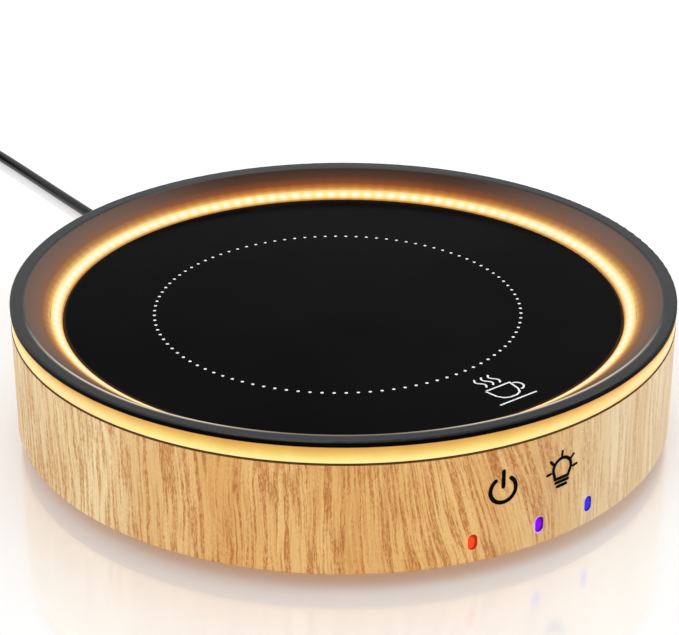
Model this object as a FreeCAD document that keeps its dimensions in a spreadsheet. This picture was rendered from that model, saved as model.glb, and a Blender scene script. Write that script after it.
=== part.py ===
"""Electric mug warmer: round, wood-grain sleeve, black rim, glass heating plate, glowing ring.

The part stands on its feet at z = 0, its axis is Z, and its touch keys face the front, -Y.
Azimuths are degrees from +X, anticlockwise seen from above. Lengths are millimetres.
"""
import FreeCAD, Part
import math
import os
import re

import Sketcher
from FreeCAD import Placement, Rotation, Vector

os.makedirs("parts", exist_ok=True)

doc = FreeCAD.newDocument("MugWarmer")

# Driving dimensions, each written once: name, value
DRIVING = {
    # Body
    "outer_radius": 75.0,
    "foot_rise": 4.1,
    "sleeve_height": 25.3,
    "sleeve_wall": 2.0,
    "sleeve_chamfer": 0.5,
    "shadow_gap": 0.45,
    "band_height": 3.55,
    "band_inset": 0.1,
    "band_wall": 1.7,
    "rim_height": 1.3,
    "rim_flat": 2.9,
    "rim_edge_round": 0.4,
    "rim_slope_drop": 4.2,
    "rim_slope_width": 6.0,
    "tongue_width": 0.6,
    "tongue_depth": 0.7,
    "fit_clearance": 0.1,
    # Plate and light ring
    "plate_drop": 5.7,
    "plate_thickness": 3.0,
    "plate_edge_round": 0.4,
    "ring_width": 2.4,
    "guide_web": 1.5,
    "gasket_thickness": 0.4,
    "gasket_width": 2.9,
    "shelf_thickness": 1.6,
    "shelf_lap": 3.1,
    # Heater
    "spreader_thickness": 1.5,
    "film_thickness": 0.4,
    "insulation_thickness": 3.1,
    "pan_sheet": 0.6,
    "pan_inset": 3.9,
    "pan_flange": 5.4,
    "pan_ear_width": 9.0,
    "sensor_radius": 3.0,
    "fuse_radius": 2.2,
    "fuse_length": 11.0,
    "fuse_wire_radius": 0.5,
    "fuse_wire_reach": 6.0,
    "fuse_along": -24.0,
    # Light ring board
    "led_board_width": 4.2,
    "led_board_thickness": 1.0,
    "led_boss_height": 1.8,
    "led_boss_radius": 1.9,
    "led_boss_inset": 5.3,
    "led_boss_azimuth": 15.0,
    "led_depth": 1.6,
    "led_width": 1.2,
    "led_height": 0.8,
    "led_count": 132,
    # Base
    "base_recess": 0.5,
    "base_thickness": 2.0,
    "base_clearance": 0.3,
    "boss_height": 4.0,
    "boss_radius": 4.2,
    "post_radius": 3.4,
    "post_inset": 8.0,
    "foot_inset": 19.0,
    "foot_radius": 7.0,
    "foot_pocket": 0.8,
    "foot_taper": 0.8,
    "rib_gap": 3.0,
    "rib_width": 1.0,
    "rib_height": 1.5,
    "vent_width": 2.0,
    "vent_inner": 20.0,
    "vent_margin": 9.0,
    "vent_count": 24,
    # Screws
    "screw_radius": 1.45,
    "screw_length": 12.0,
    "screw_head_radius": 2.7,
    "screw_head_height": 1.9,
    "small_screw_radius": 1.0,
    "small_screw_head_radius": 1.9,
    "small_screw_head_height": 1.3,
    "thread_clearance": 0.05,
    # Control board
    "board_length": 78.0,
    "board_width": 44.0,
    "board_thickness": 1.6,
    "board_standoff": 2.4,
    "board_centre_y": 8.0,
    "board_hole_inset": 4.5,
    "board_post_radius": 2.6,
    "board_screw_length": 3.0,
    # Components on the control board, and their places from its middle
    "case_round": 0.5,
    "capacitor_length": 13.0,
    "capacitor_width": 6.0,
    "capacitor_height": 8.0,
    "capacitor_across": -8.0,
    "capacitor_along": 14.0,
    "can_radius": 4.0,
    "can_length": 12.0,
    "can_crimp": 0.35,
    "can_crimp_reach": 1.8,
    "can_across": 9.0,
    "can_along": 8.0,
    "inductor_radius": 4.0,
    "inductor_waist": 3.0,
    "inductor_height": 7.0,
    "inductor_flange": 1.2,
    "inductor_across": 9.0,
    "inductor_along": -8.0,
    "triac_width": 10.0,
    "triac_length": 9.0,
    "triac_height": 4.5,
    "triac_tab_length": 15.0,
    "triac_tab_thickness": 1.3,
    "triac_hole_radius": 1.8,
    "triac_hole_reach": 4.7,
    "triac_across": -8.0,
    "triac_along": -5.0,
    "mains_fuse_length": 20.0,
    "mains_fuse_radius": 2.4,
    "mains_fuse_cap_radius": 2.6,
    "mains_fuse_cap_length": 5.0,
    "mains_fuse_across": -26.0,
    "mains_fuse_along": 2.0,
    "chip_length": 10.0,
    "chip_width": 5.0,
    "chip_height": 1.6,
    "chip_leg_width": 0.5,
    "chip_leg_height": 0.4,
    "chip_leg_reach": 0.7,
    "chip_leg_pitch": 1.2,
    "chip_leg_count": 8,
    "chip_across": 22.0,
    "chip_along": 2.0,
    "terminal_length": 11.0,
    "terminal_width": 7.5,
    "terminal_height": 8.4,
    "terminal_pitch": 5.0,
    "terminal_mouth_radius": 0.9,
    "terminal_mouth_depth": 3.0,
    "terminal_screw_radius": 1.6,
    "terminal_screw_depth": 1.0,
    "terminal_across": -24.0,
    "terminal_along": 16.0,
    "header_length": 8.0,
    "header_width": 4.5,
    "header_height": 5.5,
    "header_wall": 0.7,
    "header_floor": 1.2,
    "header_spacing": 24.0,
    "header_along": -17.0,
    # Touch keys and indicators
    "touch_azimuth": -58.8,
    "touch_board_width": 42.0,
    "touch_board_thickness": 1.2,
    "touch_board_gap": 5.4,
    "touch_pad_radius": 4.0,
    "rail_width": 3.0,
    "rail_back": 2.0,
    "rail_front": 1.0,
    "rail_height": 9.0,
    "power_key_azimuth": -64.8,
    "lamp_key_azimuth": -53.5,
    "key_level": 19.9,
    "red_azimuth": -69.75,
    "purple_azimuth": -57.8,
    "blue_azimuth": -47.4,
    "indicator_level": 9.15,
    "indicator_width": 2.0,
    "indicator_height": 3.5,
    "chip_lamp_depth": 0.8,
    "chip_lamp_width": 1.6,
    "chip_lamp_height": 2.6,
    # Wires inside
    "core_radius": 0.75,
    "core_lead": 4.0,
    "cable_radius": 0.9,
    "cable_rise": 6.0,
    "cable_lead": 8.0,
    "touch_cable_rise": 5.0,
    "led_cable_azimuth": 225.0,
    # Cord clamp
    "clamp_inset": 13.0,
    "clamp_reach": 6.0,
    "clamp_boss_radius": 2.6,
    "clamp_length": 18.0,
    "clamp_width": 6.0,
    "clamp_thickness": 2.6,
    "clamp_round": 1.2,
    "clamp_screw_grip": 2.0,
    # Cord
    "cord_azimuth": 120.0,
    "cord_level": 10.4,
    "cord_diameter": 2.9,
    "relief_tail": 5.0,
    "relief_length": 20.0,
    "relief_root_radius": 3.6,
    "relief_tip_radius": 2.2,
    "relief_flange_radius": 4.6,
    "relief_neck_radius": 2.6,
    "relief_ring_count": 5,
    "relief_ring_width": 1.0,
    "relief_ring_depth": 0.5,
    "coil_radius": 16.5,
    "coil_turns_per_layer": 2,
    "coil_layers": 4,
    "coil_pitch": 3.8,
    # Plug
    "plug_length": 30.0,
    "plug_width": 24.0,
    "plug_thickness": 15.0,
    "plug_relief_length": 16.0,
    "plug_ring_count": 4,
    "plug_ring_width": 1.1,
    "plug_ring_pitch": 3.2,
    "plug_ring_start": 2.5,
    "blade_spacing": 12.7,
    "blade_length": 17.5,
    "blade_width": 6.3,
    "blade_thickness": 1.5,
    "blade_hole_radius": 1.6,
}

# Levels and radii that follow from them
DERIVED = {
    "sleeve_bottom": "foot_rise",
    "sleeve_top": "sleeve_bottom + sleeve_height",
    "band_bottom": "sleeve_top + shadow_gap",
    "band_top": "band_bottom + band_height",
    "rim_top": "band_top + rim_height",
    "rim_inner_radius": "outer_radius - rim_flat",
    "slope_bottom": "rim_top - rim_slope_drop",
    "sleeve_inner_radius": "outer_radius - sleeve_wall",
    "plate_top": "rim_top - plate_drop",
    "plate_bottom": "plate_top - plate_thickness",
    "ring_outer_radius": "rim_inner_radius - rim_slope_width",
    "ring_inner_radius": "ring_outer_radius - ring_width",
    "plate_radius": "ring_inner_radius - fit_clearance",
    "shelf_top": "plate_bottom - gasket_thickness",
    "shelf_bottom": "shelf_top - shelf_thickness",
    "shelf_inner_radius": "plate_radius - shelf_lap",
    "band_radius": "outer_radius - band_inset",
    "band_inner_radius": "band_radius - band_wall",
    "base_bottom": "sleeve_bottom + base_recess",
    "base_top": "base_bottom + base_thickness",
    "base_radius": "sleeve_inner_radius - base_clearance",
    "boss_top": "base_top + boss_height",
    "post_circle": "outer_radius - post_inset",
    "foot_circle": "outer_radius - foot_inset",
    "rib_radius": "foot_circle - foot_radius - rib_gap",
    "vent_outer": "rib_radius - vent_margin",
    "spreader_radius": "shelf_inner_radius - base_clearance",
    "spreader_bottom": "plate_bottom - spreader_thickness",
    "film_bottom": "spreader_bottom - film_thickness",
    "insulation_bottom": "film_bottom - insulation_thickness",
    "pan_bottom": "insulation_bottom - pan_sheet",
    "pan_radius": "shelf_inner_radius - pan_inset",
    "pan_inner_radius": "pan_radius - pan_sheet",
    "led_boss_circle": "outer_radius - led_boss_inset",
    "led_board_bottom": "shelf_top + led_boss_height",
    "led_board_inner_radius": "led_boss_circle - led_board_width / 2",
    "board_bottom": "base_top + board_standoff",
    "board_top": "board_bottom + board_thickness",
    "pilot_radius": "small_screw_radius + thread_clearance",
    "touch_board_front": "sleeve_inner_radius - touch_board_gap",
    "touch_board_back": "touch_board_front - touch_board_thickness",
    "clamp_circle": "outer_radius - clamp_inset",
    "cord_radius": "cord_diameter / 2",
}

NODES = []
VOLUME_MARGIN = 1e-6


def with_sheet(text):
    """Writes an expression's size names as cells of the sheet."""
    return re.sub(r"[a-z][a-z_]+", lambda word: SHEET_NAMES.get(word[0], word[0]), text)


def fill_sheet():
    """Puts the driving numbers and the derived formulas in a sheet with aliases."""
    table = doc.addObject("Spreadsheet::Sheet", "Sizes")
    rows = {name: str(number) for name, number in DRIVING.items()}
    rows.update({name: "=" + text for name, text in DERIVED.items()})
    for row, (name, content) in enumerate(rows.items(), 1):
        table.set(f"A{row}", name)
        table.set(f"B{row}", content)
        table.setAlias(f"B{row}", name)
    return table


SHEET_NAMES = {name: "Sizes." + name for name in [*DRIVING, *DERIVED]}
sheet = fill_sheet()
doc.recompute()


def size(name):
    """A size as a number, read from the sheet."""
    return float(sheet.get(name))


def bind(thing, expressions):
    """Ties properties of an object to expressions on the sheet."""
    for name, text in expressions.items():
        thing.setExpression(name, with_sheet(text))


def keep(thing, label):
    """Marks an object as one of the part's pieces, under its own name."""
    thing.Label = label
    NODES.append(thing)
    return thing


def new_body(label):
    return doc.addObject("PartDesign::Body", label + "_body")


def sketch_on(body, name, role, level="0"):
    """A sketch on one of the body's own origin planes, raised along its normal."""
    sketch = body.newObject("Sketcher::SketchObject", name)
    plane = next(item for item in body.Origin.OriginFeatures if item.Role == role)
    sketch.AttachmentSupport = (plane, [""])
    sketch.MapMode = "FlatFace"
    bind(sketch, {"AttachmentOffset.Base.z": level})
    return sketch


def hold_point(sketch, geometry, end, across, along):
    """Ties a point of a sketch to its coordinates."""
    for kind, axis, text in (("DistanceX", -2, across), ("DistanceY", -1, along)):
        if text == "0":
            sketch.addConstraint(Sketcher.Constraint("PointOnObject", geometry, end, axis))
        else:
            index = sketch.addConstraint(Sketcher.Constraint(kind, -1, 1, geometry, end, 1.0))
            bind(sketch, {f"Constraints[{index}]": text})


def draw_outline(sketch, corners):
    """A closed outline of straight lines through corners given as expressions."""
    count = len(corners)
    first = sketch.GeometryCount
    ring = [Vector(math.cos(2 * math.pi * i / count), math.sin(2 * math.pi * i / count), 0)
            for i in range(count)]
    for i in range(count):
        sketch.addGeometry(Part.LineSegment(ring[i], ring[(i + 1) % count]), False)
    for i in range(count):
        sketch.addConstraint(Sketcher.Constraint("Coincident", first + i, 2, first + (i + 1) % count, 1))
    for i, (across, along) in enumerate(corners):
        hold_point(sketch, first + i, 1, across, along)


def draw_circle(sketch, across, along, radius):
    """A circle whose centre and radius are expressions."""
    index = sketch.addGeometry(Part.Circle(Vector(0, 0, 0), Vector(0, 0, 1), 1.0), False)
    hold_point(sketch, index, 3, across, along)
    rule = sketch.addConstraint(Sketcher.Constraint("Radius", index, 1.0))
    bind(sketch, {f"Constraints[{rule}]": radius})


def revolve(body, name, corners):
    """A full turn about Z of an outline of radius and height."""
    sketch = sketch_on(body, name + "_outline", "XZ_Plane")
    draw_outline(sketch, corners)
    feature = body.newObject("PartDesign::Revolution", name)
    feature.Profile = sketch
    feature.ReferenceAxis = (sketch, ["V_Axis"])
    feature.Angle = 360
    doc.recompute()
    return feature


def pad(body, name, sketch, length, down=False):
    feature = body.newObject("PartDesign::Pad", name)
    feature.Profile = sketch
    feature.Reversed = down
    bind(feature, {"Length": length})
    doc.recompute()
    return feature


def pocket(body, name, sketch, depth, up=False):
    """Cuts along the sketch's normal (up) or against it, and makes sure that it did cut."""
    before = body.Shape.Volume
    feature = body.newObject("PartDesign::Pocket", name)
    feature.Profile = sketch
    feature.Reversed = up
    bind(feature, {"Length": depth})
    doc.recompute()
    if body.Shape.Volume > before - VOLUME_MARGIN:
        raise RuntimeError(name + " cuts nothing")
    return feature


def around(body, name, feature, count):
    """Repeats a feature evenly about the part's axis."""
    pattern = body.newObject("PartDesign::PolarPattern", name)
    pattern.Originals = [feature]
    pattern.Axis = (feature.Profile[0], ["N_Axis"])
    pattern.Angle = 360
    if isinstance(count, str):
        bind(pattern, {"Occurrences": count})
    else:
        pattern.Occurrences = count
    body.Tip = pattern
    doc.recompute()
    return pattern


def edges_at(shape, radius, level):
    """Names of the circular edges about Z with this radius and level."""
    return [f"Edge{i}" for i, edge in enumerate(shape.Edges, 1)
            if isinstance(edge.Curve, Part.Circle) and abs(edge.Curve.Radius - radius) < 1e-4
            and abs(edge.Curve.Center.z - level) < 1e-4 and math.hypot(*edge.Curve.Center[:2]) < 1e-4]


def round_edge(body, name, radius, level, fillet):
    """Rounds the circular edge at a radius and level."""
    base = body.Tip
    feature = body.newObject("PartDesign::Fillet", name)
    feature.Base = (base, edges_at(base.Shape, radius, level))
    bind(feature, {"Radius": fillet})
    doc.recompute()
    return feature


def cylinder(name, radius, height, level="0", across="0", along="0"):
    """An upright Part cylinder bound to the sheet."""
    thing = doc.addObject("Part::Cylinder", name)
    bind(thing, {"Radius": radius, "Height": height, "Placement.Base.x": across,
                 "Placement.Base.y": along, "Placement.Base.z": level})
    return thing


def box(name, length, width, height, across, along, level):
    """A Part box bound to the sheet, placed by its low corner."""
    thing = doc.addObject("Part::Box", name)
    bind(thing, {"Length": length, "Width": width, "Height": height, "Placement.Base.x": across,
                 "Placement.Base.y": along, "Placement.Base.z": level})
    return thing


def barrel(name, radius, length, across, along, level, azimuth=0):
    """A Part cylinder that lies along an azimuth, from its near end."""
    thing = doc.addObject("Part::Cylinder", name)
    thing.Placement = outward(azimuth, Vector(0, 0, 0)).multiply(Placement(Vector(0, 0, 0), QUARTER_TURN))
    bind(thing, {"Radius": radius, "Height": length, "Placement.Base.x": across,
                 "Placement.Base.y": along, "Placement.Base.z": level})
    return thing


QUARTER_TURN = Rotation(Vector(0, 1, 0), 90)


def cut(name, base, tool):
    thing = doc.addObject("Part::Cut", name)
    thing.Base = base
    thing.Tool = tool
    return thing


def common(name, base, tool):
    thing = doc.addObject("Part::Common", name)
    thing.Base = base
    thing.Tool = tool
    return thing


def fuse(name, shapes):
    thing = doc.addObject("Part::MultiFuse", name)
    thing.Shapes = shapes
    thing.Refine = True
    return thing


def compound(name, pieces):
    """Holds pieces together without joining them."""
    thing = doc.addObject("Part::Compound", name)
    thing.Links = pieces
    return thing


def rounded(name, base, radius):
    """Rounds the upright edges of a block."""
    doc.recompute()
    thing = doc.addObject("Part::Fillet", name)
    thing.Base = base
    thing.Edges = [(i, size(radius), size(radius)) for i, edge in enumerate(base.Shape.Edges, 1)
                   if abs(edge.tangentAt(edge.FirstParameter).z) > 0.9]
    return thing


def turn_about_axis(thing, azimuth):
    """Turns an object about the part's axis."""
    thing.Placement = Placement(Vector(0, 0, 0), Rotation(Vector(0, 0, 1), size(azimuth)))
    return thing


def solid_feature(name, shape, placement=Placement()):
    """A piece whose shape is made with Part's own functions, then placed."""
    thing = doc.addObject("Part::Feature", name + "_shape")
    thing.Shape = shape
    thing.Placement = placement
    return keep(thing, name)


def polar(radius, azimuth, level=0.0):
    """A point at a radius, an azimuth in degrees and a level."""
    angle = math.radians(azimuth)
    return Vector(radius * math.cos(angle), radius * math.sin(angle), level)


def outward(azimuth, origin):
    """A placement whose local X points away from the axis at an azimuth."""
    return Placement(origin, Rotation(Vector(0, 0, 1), azimuth))


# Shares of a screw's head taken by its bevel, its recess's depth, length and width, and of its shank by the tip
SCREW_BEVEL = 0.4
RECESS_DEPTH = 0.45
RECESS_LENGTH = 1.1
RECESS_WIDTH = 0.28
TIP_RADIUS = 0.4


def screw_shape(kind, length, upside_down=False):
    """A screw along Z, head below its seat at z = 0 and shank above, with a cross recess in its head."""
    radius = size(kind + "_radius")
    head_radius = size(kind + "_head_radius")
    head_height = size(kind + "_head_height")
    bevel = head_height * SCREW_BEVEL
    head = Part.makeCylinder(head_radius, head_height - bevel, Vector(0, 0, bevel - head_height))
    crown = Part.makeCone(head_radius - bevel, head_radius, bevel, Vector(0, 0, -head_height))
    shank = Part.makeCylinder(radius, length)
    tip = Part.makeCone(radius, radius * TIP_RADIUS, radius, Vector(0, 0, length))
    screw = head.fuse([crown, shank, tip]).removeSplitter()
    long_side = head_radius * RECESS_LENGTH
    short_side = head_radius * RECESS_WIDTH
    for angle in (0, 90):
        corner = Vector(-long_side / 2, -short_side / 2, -head_height)
        slot = Part.makeBox(long_side, short_side, head_height * RECESS_DEPTH, corner)
        slot.rotate(Vector(0, 0, 0), Vector(0, 0, 1), angle)
        screw = screw.cut(slot)
    if upside_down:
        screw.rotate(Vector(0, 0, 0), Vector(1, 0, 0), 180)
    return screw


def screws(label, screw, points):
    """The same screw at every point."""
    solid_feature(label, Part.makeCompound([screw.translated(point) for point in points]))


# Housing: the wood-grain sleeve with its shelf, screw posts, windows and cord hole

def make_sleeve():
    body = new_body("wood_sleeve")
    lip_outer = "band_inner_radius + band_wall / 2"
    lip_inner = "sleeve_inner_radius - sleeve_chamfer / 4"
    revolve(body, "sleeve_turn", [
        ("sleeve_inner_radius", "sleeve_bottom"),
        ("outer_radius - sleeve_chamfer", "sleeve_bottom"),
        ("outer_radius", "sleeve_bottom + sleeve_chamfer"),
        ("outer_radius", "sleeve_top"),
        (lip_outer, "sleeve_top"),
        (lip_outer, "band_bottom"),
        (lip_inner, "band_bottom"),
        (lip_inner, "shelf_top"),
        ("shelf_inner_radius", "shelf_top"),
        ("shelf_inner_radius", "shelf_bottom"),
        ("sleeve_inner_radius", "shelf_bottom"),
    ])
    post = sketch_on(body, "post_circle_sketch", "XY_Plane", "boss_top")
    draw_circle(post, "post_circle", "0", "post_radius")
    posts = pad(body, "post", post, "shelf_bottom - boss_top")
    around(body, "posts", posts, 4)
    hole = sketch_on(body, "post_hole_sketch", "XY_Plane", "boss_top")
    draw_circle(hole, "post_circle", "0", "screw_radius + thread_clearance")
    holes = pocket(body, "post_hole", hole, "screw_length", up=True)
    around(body, "post_holes", holes, 4)
    boss = sketch_on(body, "led_boss_sketch", "XY_Plane", "shelf_top")
    draw_circle(boss, *LED_BOSS, "led_boss_radius")
    bosses = pad(body, "led_boss", boss, "led_boss_height")
    around(body, "led_bosses", bosses, 6)
    pilot = sketch_on(body, "pan_screw_sketch", "XY_Plane", "shelf_bottom")
    draw_circle(pilot, *LED_BOSS, "small_screw_radius + thread_clearance")
    pilots = pocket(body, "pan_screw_hole", pilot, "shelf_thickness + led_boss_height / 2", up=True)
    around(body, "pan_screw_holes", pilots, 3)
    passage = sketch_on(body, "led_cable_sketch", "XY_Plane", "shelf_bottom")
    draw_circle(passage, "led_boss_circle * cos(led_cable_azimuth)", "led_boss_circle * sin(led_cable_azimuth)",
                "cable_radius + fit_clearance")
    pocket(body, "led_cable_hole", passage, "shelf_thickness", up=True)
    windows = [radial_slot(colour + "_window", colour + "_azimuth", "fit_clearance / 2") for colour in COLOURS]
    cord_hole = doc.addObject("Part::Cylinder", "cord_hole")
    bind(cord_hole, {"Radius": "relief_neck_radius + fit_clearance / 2", "Height": "3 * sleeve_wall"})
    start = polar(size("outer_radius") - 2 * size("sleeve_wall"), size("cord_azimuth"), size("cord_level"))
    cord_hole.Placement = Placement(start, relief_turn())
    keep(cut("wood_sleeve_cut", body, fuse("sleeve_holes", windows + [cord_hole])), "wood_sleeve")


COLOURS = ("red", "purple", "blue")
LED_BOSS = ("led_boss_circle * cos(led_boss_azimuth)", "led_boss_circle * sin(led_boss_azimuth)")


def radial_slot(name, azimuth, grow):
    """An upright obround prism through the sleeve's wall, grown all round by a clearance."""
    reach = "5 * sleeve_wall"
    start = "outer_radius - 2 * sleeve_wall"
    half = f"(indicator_width / 2 + {grow})"
    rise = "(indicator_height - indicator_width) / 2"
    middle = box(name + "_middle", reach, f"2 * {half}", f"2 * {rise}", start, f"-{half}",
                 f"indicator_level - {rise}")
    pieces = [middle]
    for end, sign in (("top", "+"), ("foot", "-")):
        tip = doc.addObject("Part::Cylinder", f"{name}_{end}")
        tip.Placement = Placement(Vector(0, 0, 0), Rotation(Vector(0, 1, 0), 90))
        bind(tip, {"Radius": half, "Height": reach, "Placement.Base.x": start,
                   "Placement.Base.z": f"indicator_level {sign} {rise}"})
        pieces.append(tip)
    return turn_about_axis(fuse(name, pieces), azimuth)


def make_indicator(colour):
    """A moulded lens: flush with the sleeve outside, with a collar behind its wall."""
    stem = radial_slot(colour + "_stem", colour + "_azimuth", "0")
    barrel = cylinder(colour + "_flush", "outer_radius - fit_clearance / 2", "sleeve_height", "sleeve_bottom")
    blank = box(colour + "_collar_blank", "sleeve_wall", "2 * indicator_width",
                "indicator_height + indicator_width / 2",
                "sleeve_inner_radius - sleeve_wall / 2 - base_clearance", "-indicator_width",
                "indicator_level - indicator_height / 2 - indicator_width / 4")
    limit = cylinder(colour + "_collar_limit", "sleeve_inner_radius - base_clearance", "sleeve_height",
                     "sleeve_bottom")
    collar = turn_about_axis(common(colour + "_collar", blank, limit), colour + "_azimuth")
    keep(fuse(colour + "_lens", [common(colour + "_outer", stem, barrel), collar]), colour + "_indicator_lens")


# Top: light guide, rim, glass plate

def make_light_guide():
    body = new_body("light_guide")
    tongue_inner = "band_inner_radius + fit_clearance"
    revolve(body, "guide_turn", [
        ("ring_inner_radius", "shelf_top"),
        ("ring_inner_radius", "plate_top + fit_clearance"),
        ("ring_outer_radius", "slope_bottom"),
        ("ring_outer_radius", "slope_bottom - rim_height - fit_clearance"),
        ("rim_inner_radius", "band_top - fit_clearance"),
        (tongue_inner, "band_top - fit_clearance"),
        (tongue_inner, "band_top - tongue_depth - fit_clearance"),
        (f"{tongue_inner} + tongue_width + 2 * fit_clearance", "band_top - tongue_depth - fit_clearance"),
        (f"{tongue_inner} + tongue_width + 2 * fit_clearance", "band_top"),
        ("band_radius", "band_top"),
        ("band_radius", "band_bottom"),
        ("band_inner_radius", "band_bottom"),
        ("band_inner_radius", "band_top - guide_web"),
        ("rim_inner_radius", "band_top - guide_web"),
        ("ring_outer_radius + rim_edge_round", "slope_bottom - rim_height - guide_web"),
        ("ring_outer_radius + rim_edge_round", "shelf_top"),
    ])
    keep(body, "light_guide")


def make_rim():
    body = new_body("top_rim")
    tongue_inner = "band_inner_radius + 2 * fit_clearance"
    revolve(body, "rim_turn", [
        ("ring_outer_radius + fit_clearance", "slope_bottom - rim_height"),
        ("ring_outer_radius + fit_clearance", "slope_bottom"),
        ("rim_inner_radius", "rim_top"),
        ("outer_radius", "rim_top"),
        ("outer_radius", "band_top"),
        (f"{tongue_inner} + tongue_width", "band_top"),
        (f"{tongue_inner} + tongue_width", "band_top - tongue_depth"),
        (tongue_inner, "band_top - tongue_depth"),
        (tongue_inner, "band_top"),
        ("rim_inner_radius", "band_top"),
    ])
    round_edge(body, "rim_outer_round", size("outer_radius"), size("rim_top"), "rim_edge_round")
    round_edge(body, "rim_inner_round", size("rim_inner_radius"), size("rim_top"), "rim_edge_round")
    keep(body, "top_rim")


def disc(label, radius, thickness, level, hole=None):
    """A flat disc or ring."""
    body = new_body(label)
    sketch = sketch_on(body, label + "_sketch", "XY_Plane", level)
    draw_circle(sketch, "0", "0", radius)
    if hole:
        draw_circle(sketch, "0", "0", hole)
    pad(body, label + "_pad", sketch, thickness)
    keep(body, label)
    return body


def make_plate():
    plate = disc("glass_plate", "plate_radius", "plate_thickness", "plate_bottom")
    round_edge(plate, "plate_round", size("plate_radius"), size("plate_top"), "plate_edge_round")
    disc("plate_gasket", "plate_radius - 2 * fit_clearance", "gasket_thickness", "shelf_top",
         "plate_radius - gasket_width")


# Heater under the plate: spreader, film, insulation, steel pan, sensor, thermal fuse

def make_heater():
    disc("heat_spreader", "spreader_radius", "spreader_thickness", "spreader_bottom")
    sensor_hole = "sensor_radius + fit_clearance"
    disc("heater_film", "pan_inner_radius - base_clearance", "film_thickness", "film_bottom", sensor_hole)
    disc("insulation_pad", "pan_inner_radius - base_clearance", "insulation_thickness",
         "insulation_bottom", sensor_hole)
    sensor = cylinder("sensor_can", "sensor_radius", "spreader_bottom - insulation_bottom", "insulation_bottom")
    keep(sensor, "temperature_sensor")
    make_pan()
    level = "pan_bottom - fuse_radius"
    case = barrel("fuse_case", "fuse_radius", "fuse_length", "-fuse_length / 2", "fuse_along", level)
    wires = barrel("fuse_wires", "fuse_wire_radius", "fuse_length + 2 * fuse_wire_reach",
                   "-fuse_length / 2 - fuse_wire_reach", "fuse_along", level)
    keep(fuse("fuse_whole", [case, wires]), "thermal_fuse")


def make_pan():
    """A drawn steel pan with a flange and three ears that screw to the shelf."""
    body = new_body("heater_pan")
    revolve(body, "pan_turn", [
        ("0", "pan_bottom"),
        ("pan_radius", "pan_bottom"),
        ("pan_radius", "shelf_bottom - pan_sheet"),
        ("pan_radius + pan_flange", "shelf_bottom - pan_sheet"),
        ("pan_radius + pan_flange", "shelf_bottom"),
        ("pan_inner_radius", "shelf_bottom"),
        ("pan_inner_radius", "insulation_bottom"),
        ("0", "insulation_bottom"),
    ])
    round_edge(body, "pan_outer_round", size("pan_radius"), size("pan_bottom"), "pan_sheet")
    ear = sketch_on(body, "ear_sketch", "XY_Plane", "shelf_bottom - pan_sheet")
    ear_end = "(led_boss_circle + led_boss_radius)"
    half = "pan_ear_width / 2"
    root = "(pan_radius + pan_flange / 2)"
    cosine = "cos(led_boss_azimuth)"
    sine = "sin(led_boss_azimuth)"
    draw_outline(ear, [
        (f"{reach} * {cosine} {minus} {half} * {sine}", f"{reach} * {sine} {plus} {half} * {cosine}")
        for reach, minus, plus in ((root, "+", "-"), (ear_end, "+", "-"), (ear_end, "-", "+"), (root, "-", "+"))
    ])
    ears = pad(body, "ear", ear, "pan_sheet")
    around(body, "ears", ears, 3)
    hole = sketch_on(body, "ear_hole_sketch", "XY_Plane", "shelf_bottom - 2 * pan_sheet")
    draw_circle(hole, *LED_BOSS, "small_screw_radius + fit_clearance")
    holes = pocket(body, "ear_hole", hole, "3 * pan_sheet", up=True)
    around(body, "ear_holes", holes, 3)
    keep(body, "heater_pan")
    length = size("shelf_thickness") + size("pan_sheet") - size("base_clearance")
    level = size("shelf_bottom") - size("pan_sheet")
    azimuth = size("led_boss_azimuth")
    screws("pan_screws", screw_shape("small_screw", length),
           [polar(size("led_boss_circle"), azimuth + 120 * i, level) for i in range(3)])


# Light ring: board and its row of lights

def make_light_ring():
    disc("led_board", "led_board_inner_radius + led_board_width", "led_board_thickness",
         "led_board_bottom", "led_board_inner_radius")
    level = size("led_board_bottom") + size("led_board_thickness")
    depth = size("led_depth")
    width = size("led_width")
    count = int(size("led_count"))
    lamp = Part.makeBox(depth, width, size("led_height"), Vector(-depth / 2, -width / 2, 0))
    places = [outward(360 * i / count, polar(size("led_boss_circle"), 360 * i / count, level))
              for i in range(count)]
    solid_feature("leds", Part.makeCompound([lamp.transformed(place.toMatrix()) for place in places]))


# Base: cover with bosses, board posts, clamp seat and vents, rubber feet and screws

SIDES = {"left": -1, "right": 1}


def board_corners():
    """Centres of the control board's four screws, as expressions."""
    return [(f"{sx} * (board_length / 2 - board_hole_inset)",
             f"(board_centre_y + {sy} * (board_width / 2 - board_hole_inset))")
            for sx in SIDES.values() for sy in SIDES.values()]


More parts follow.
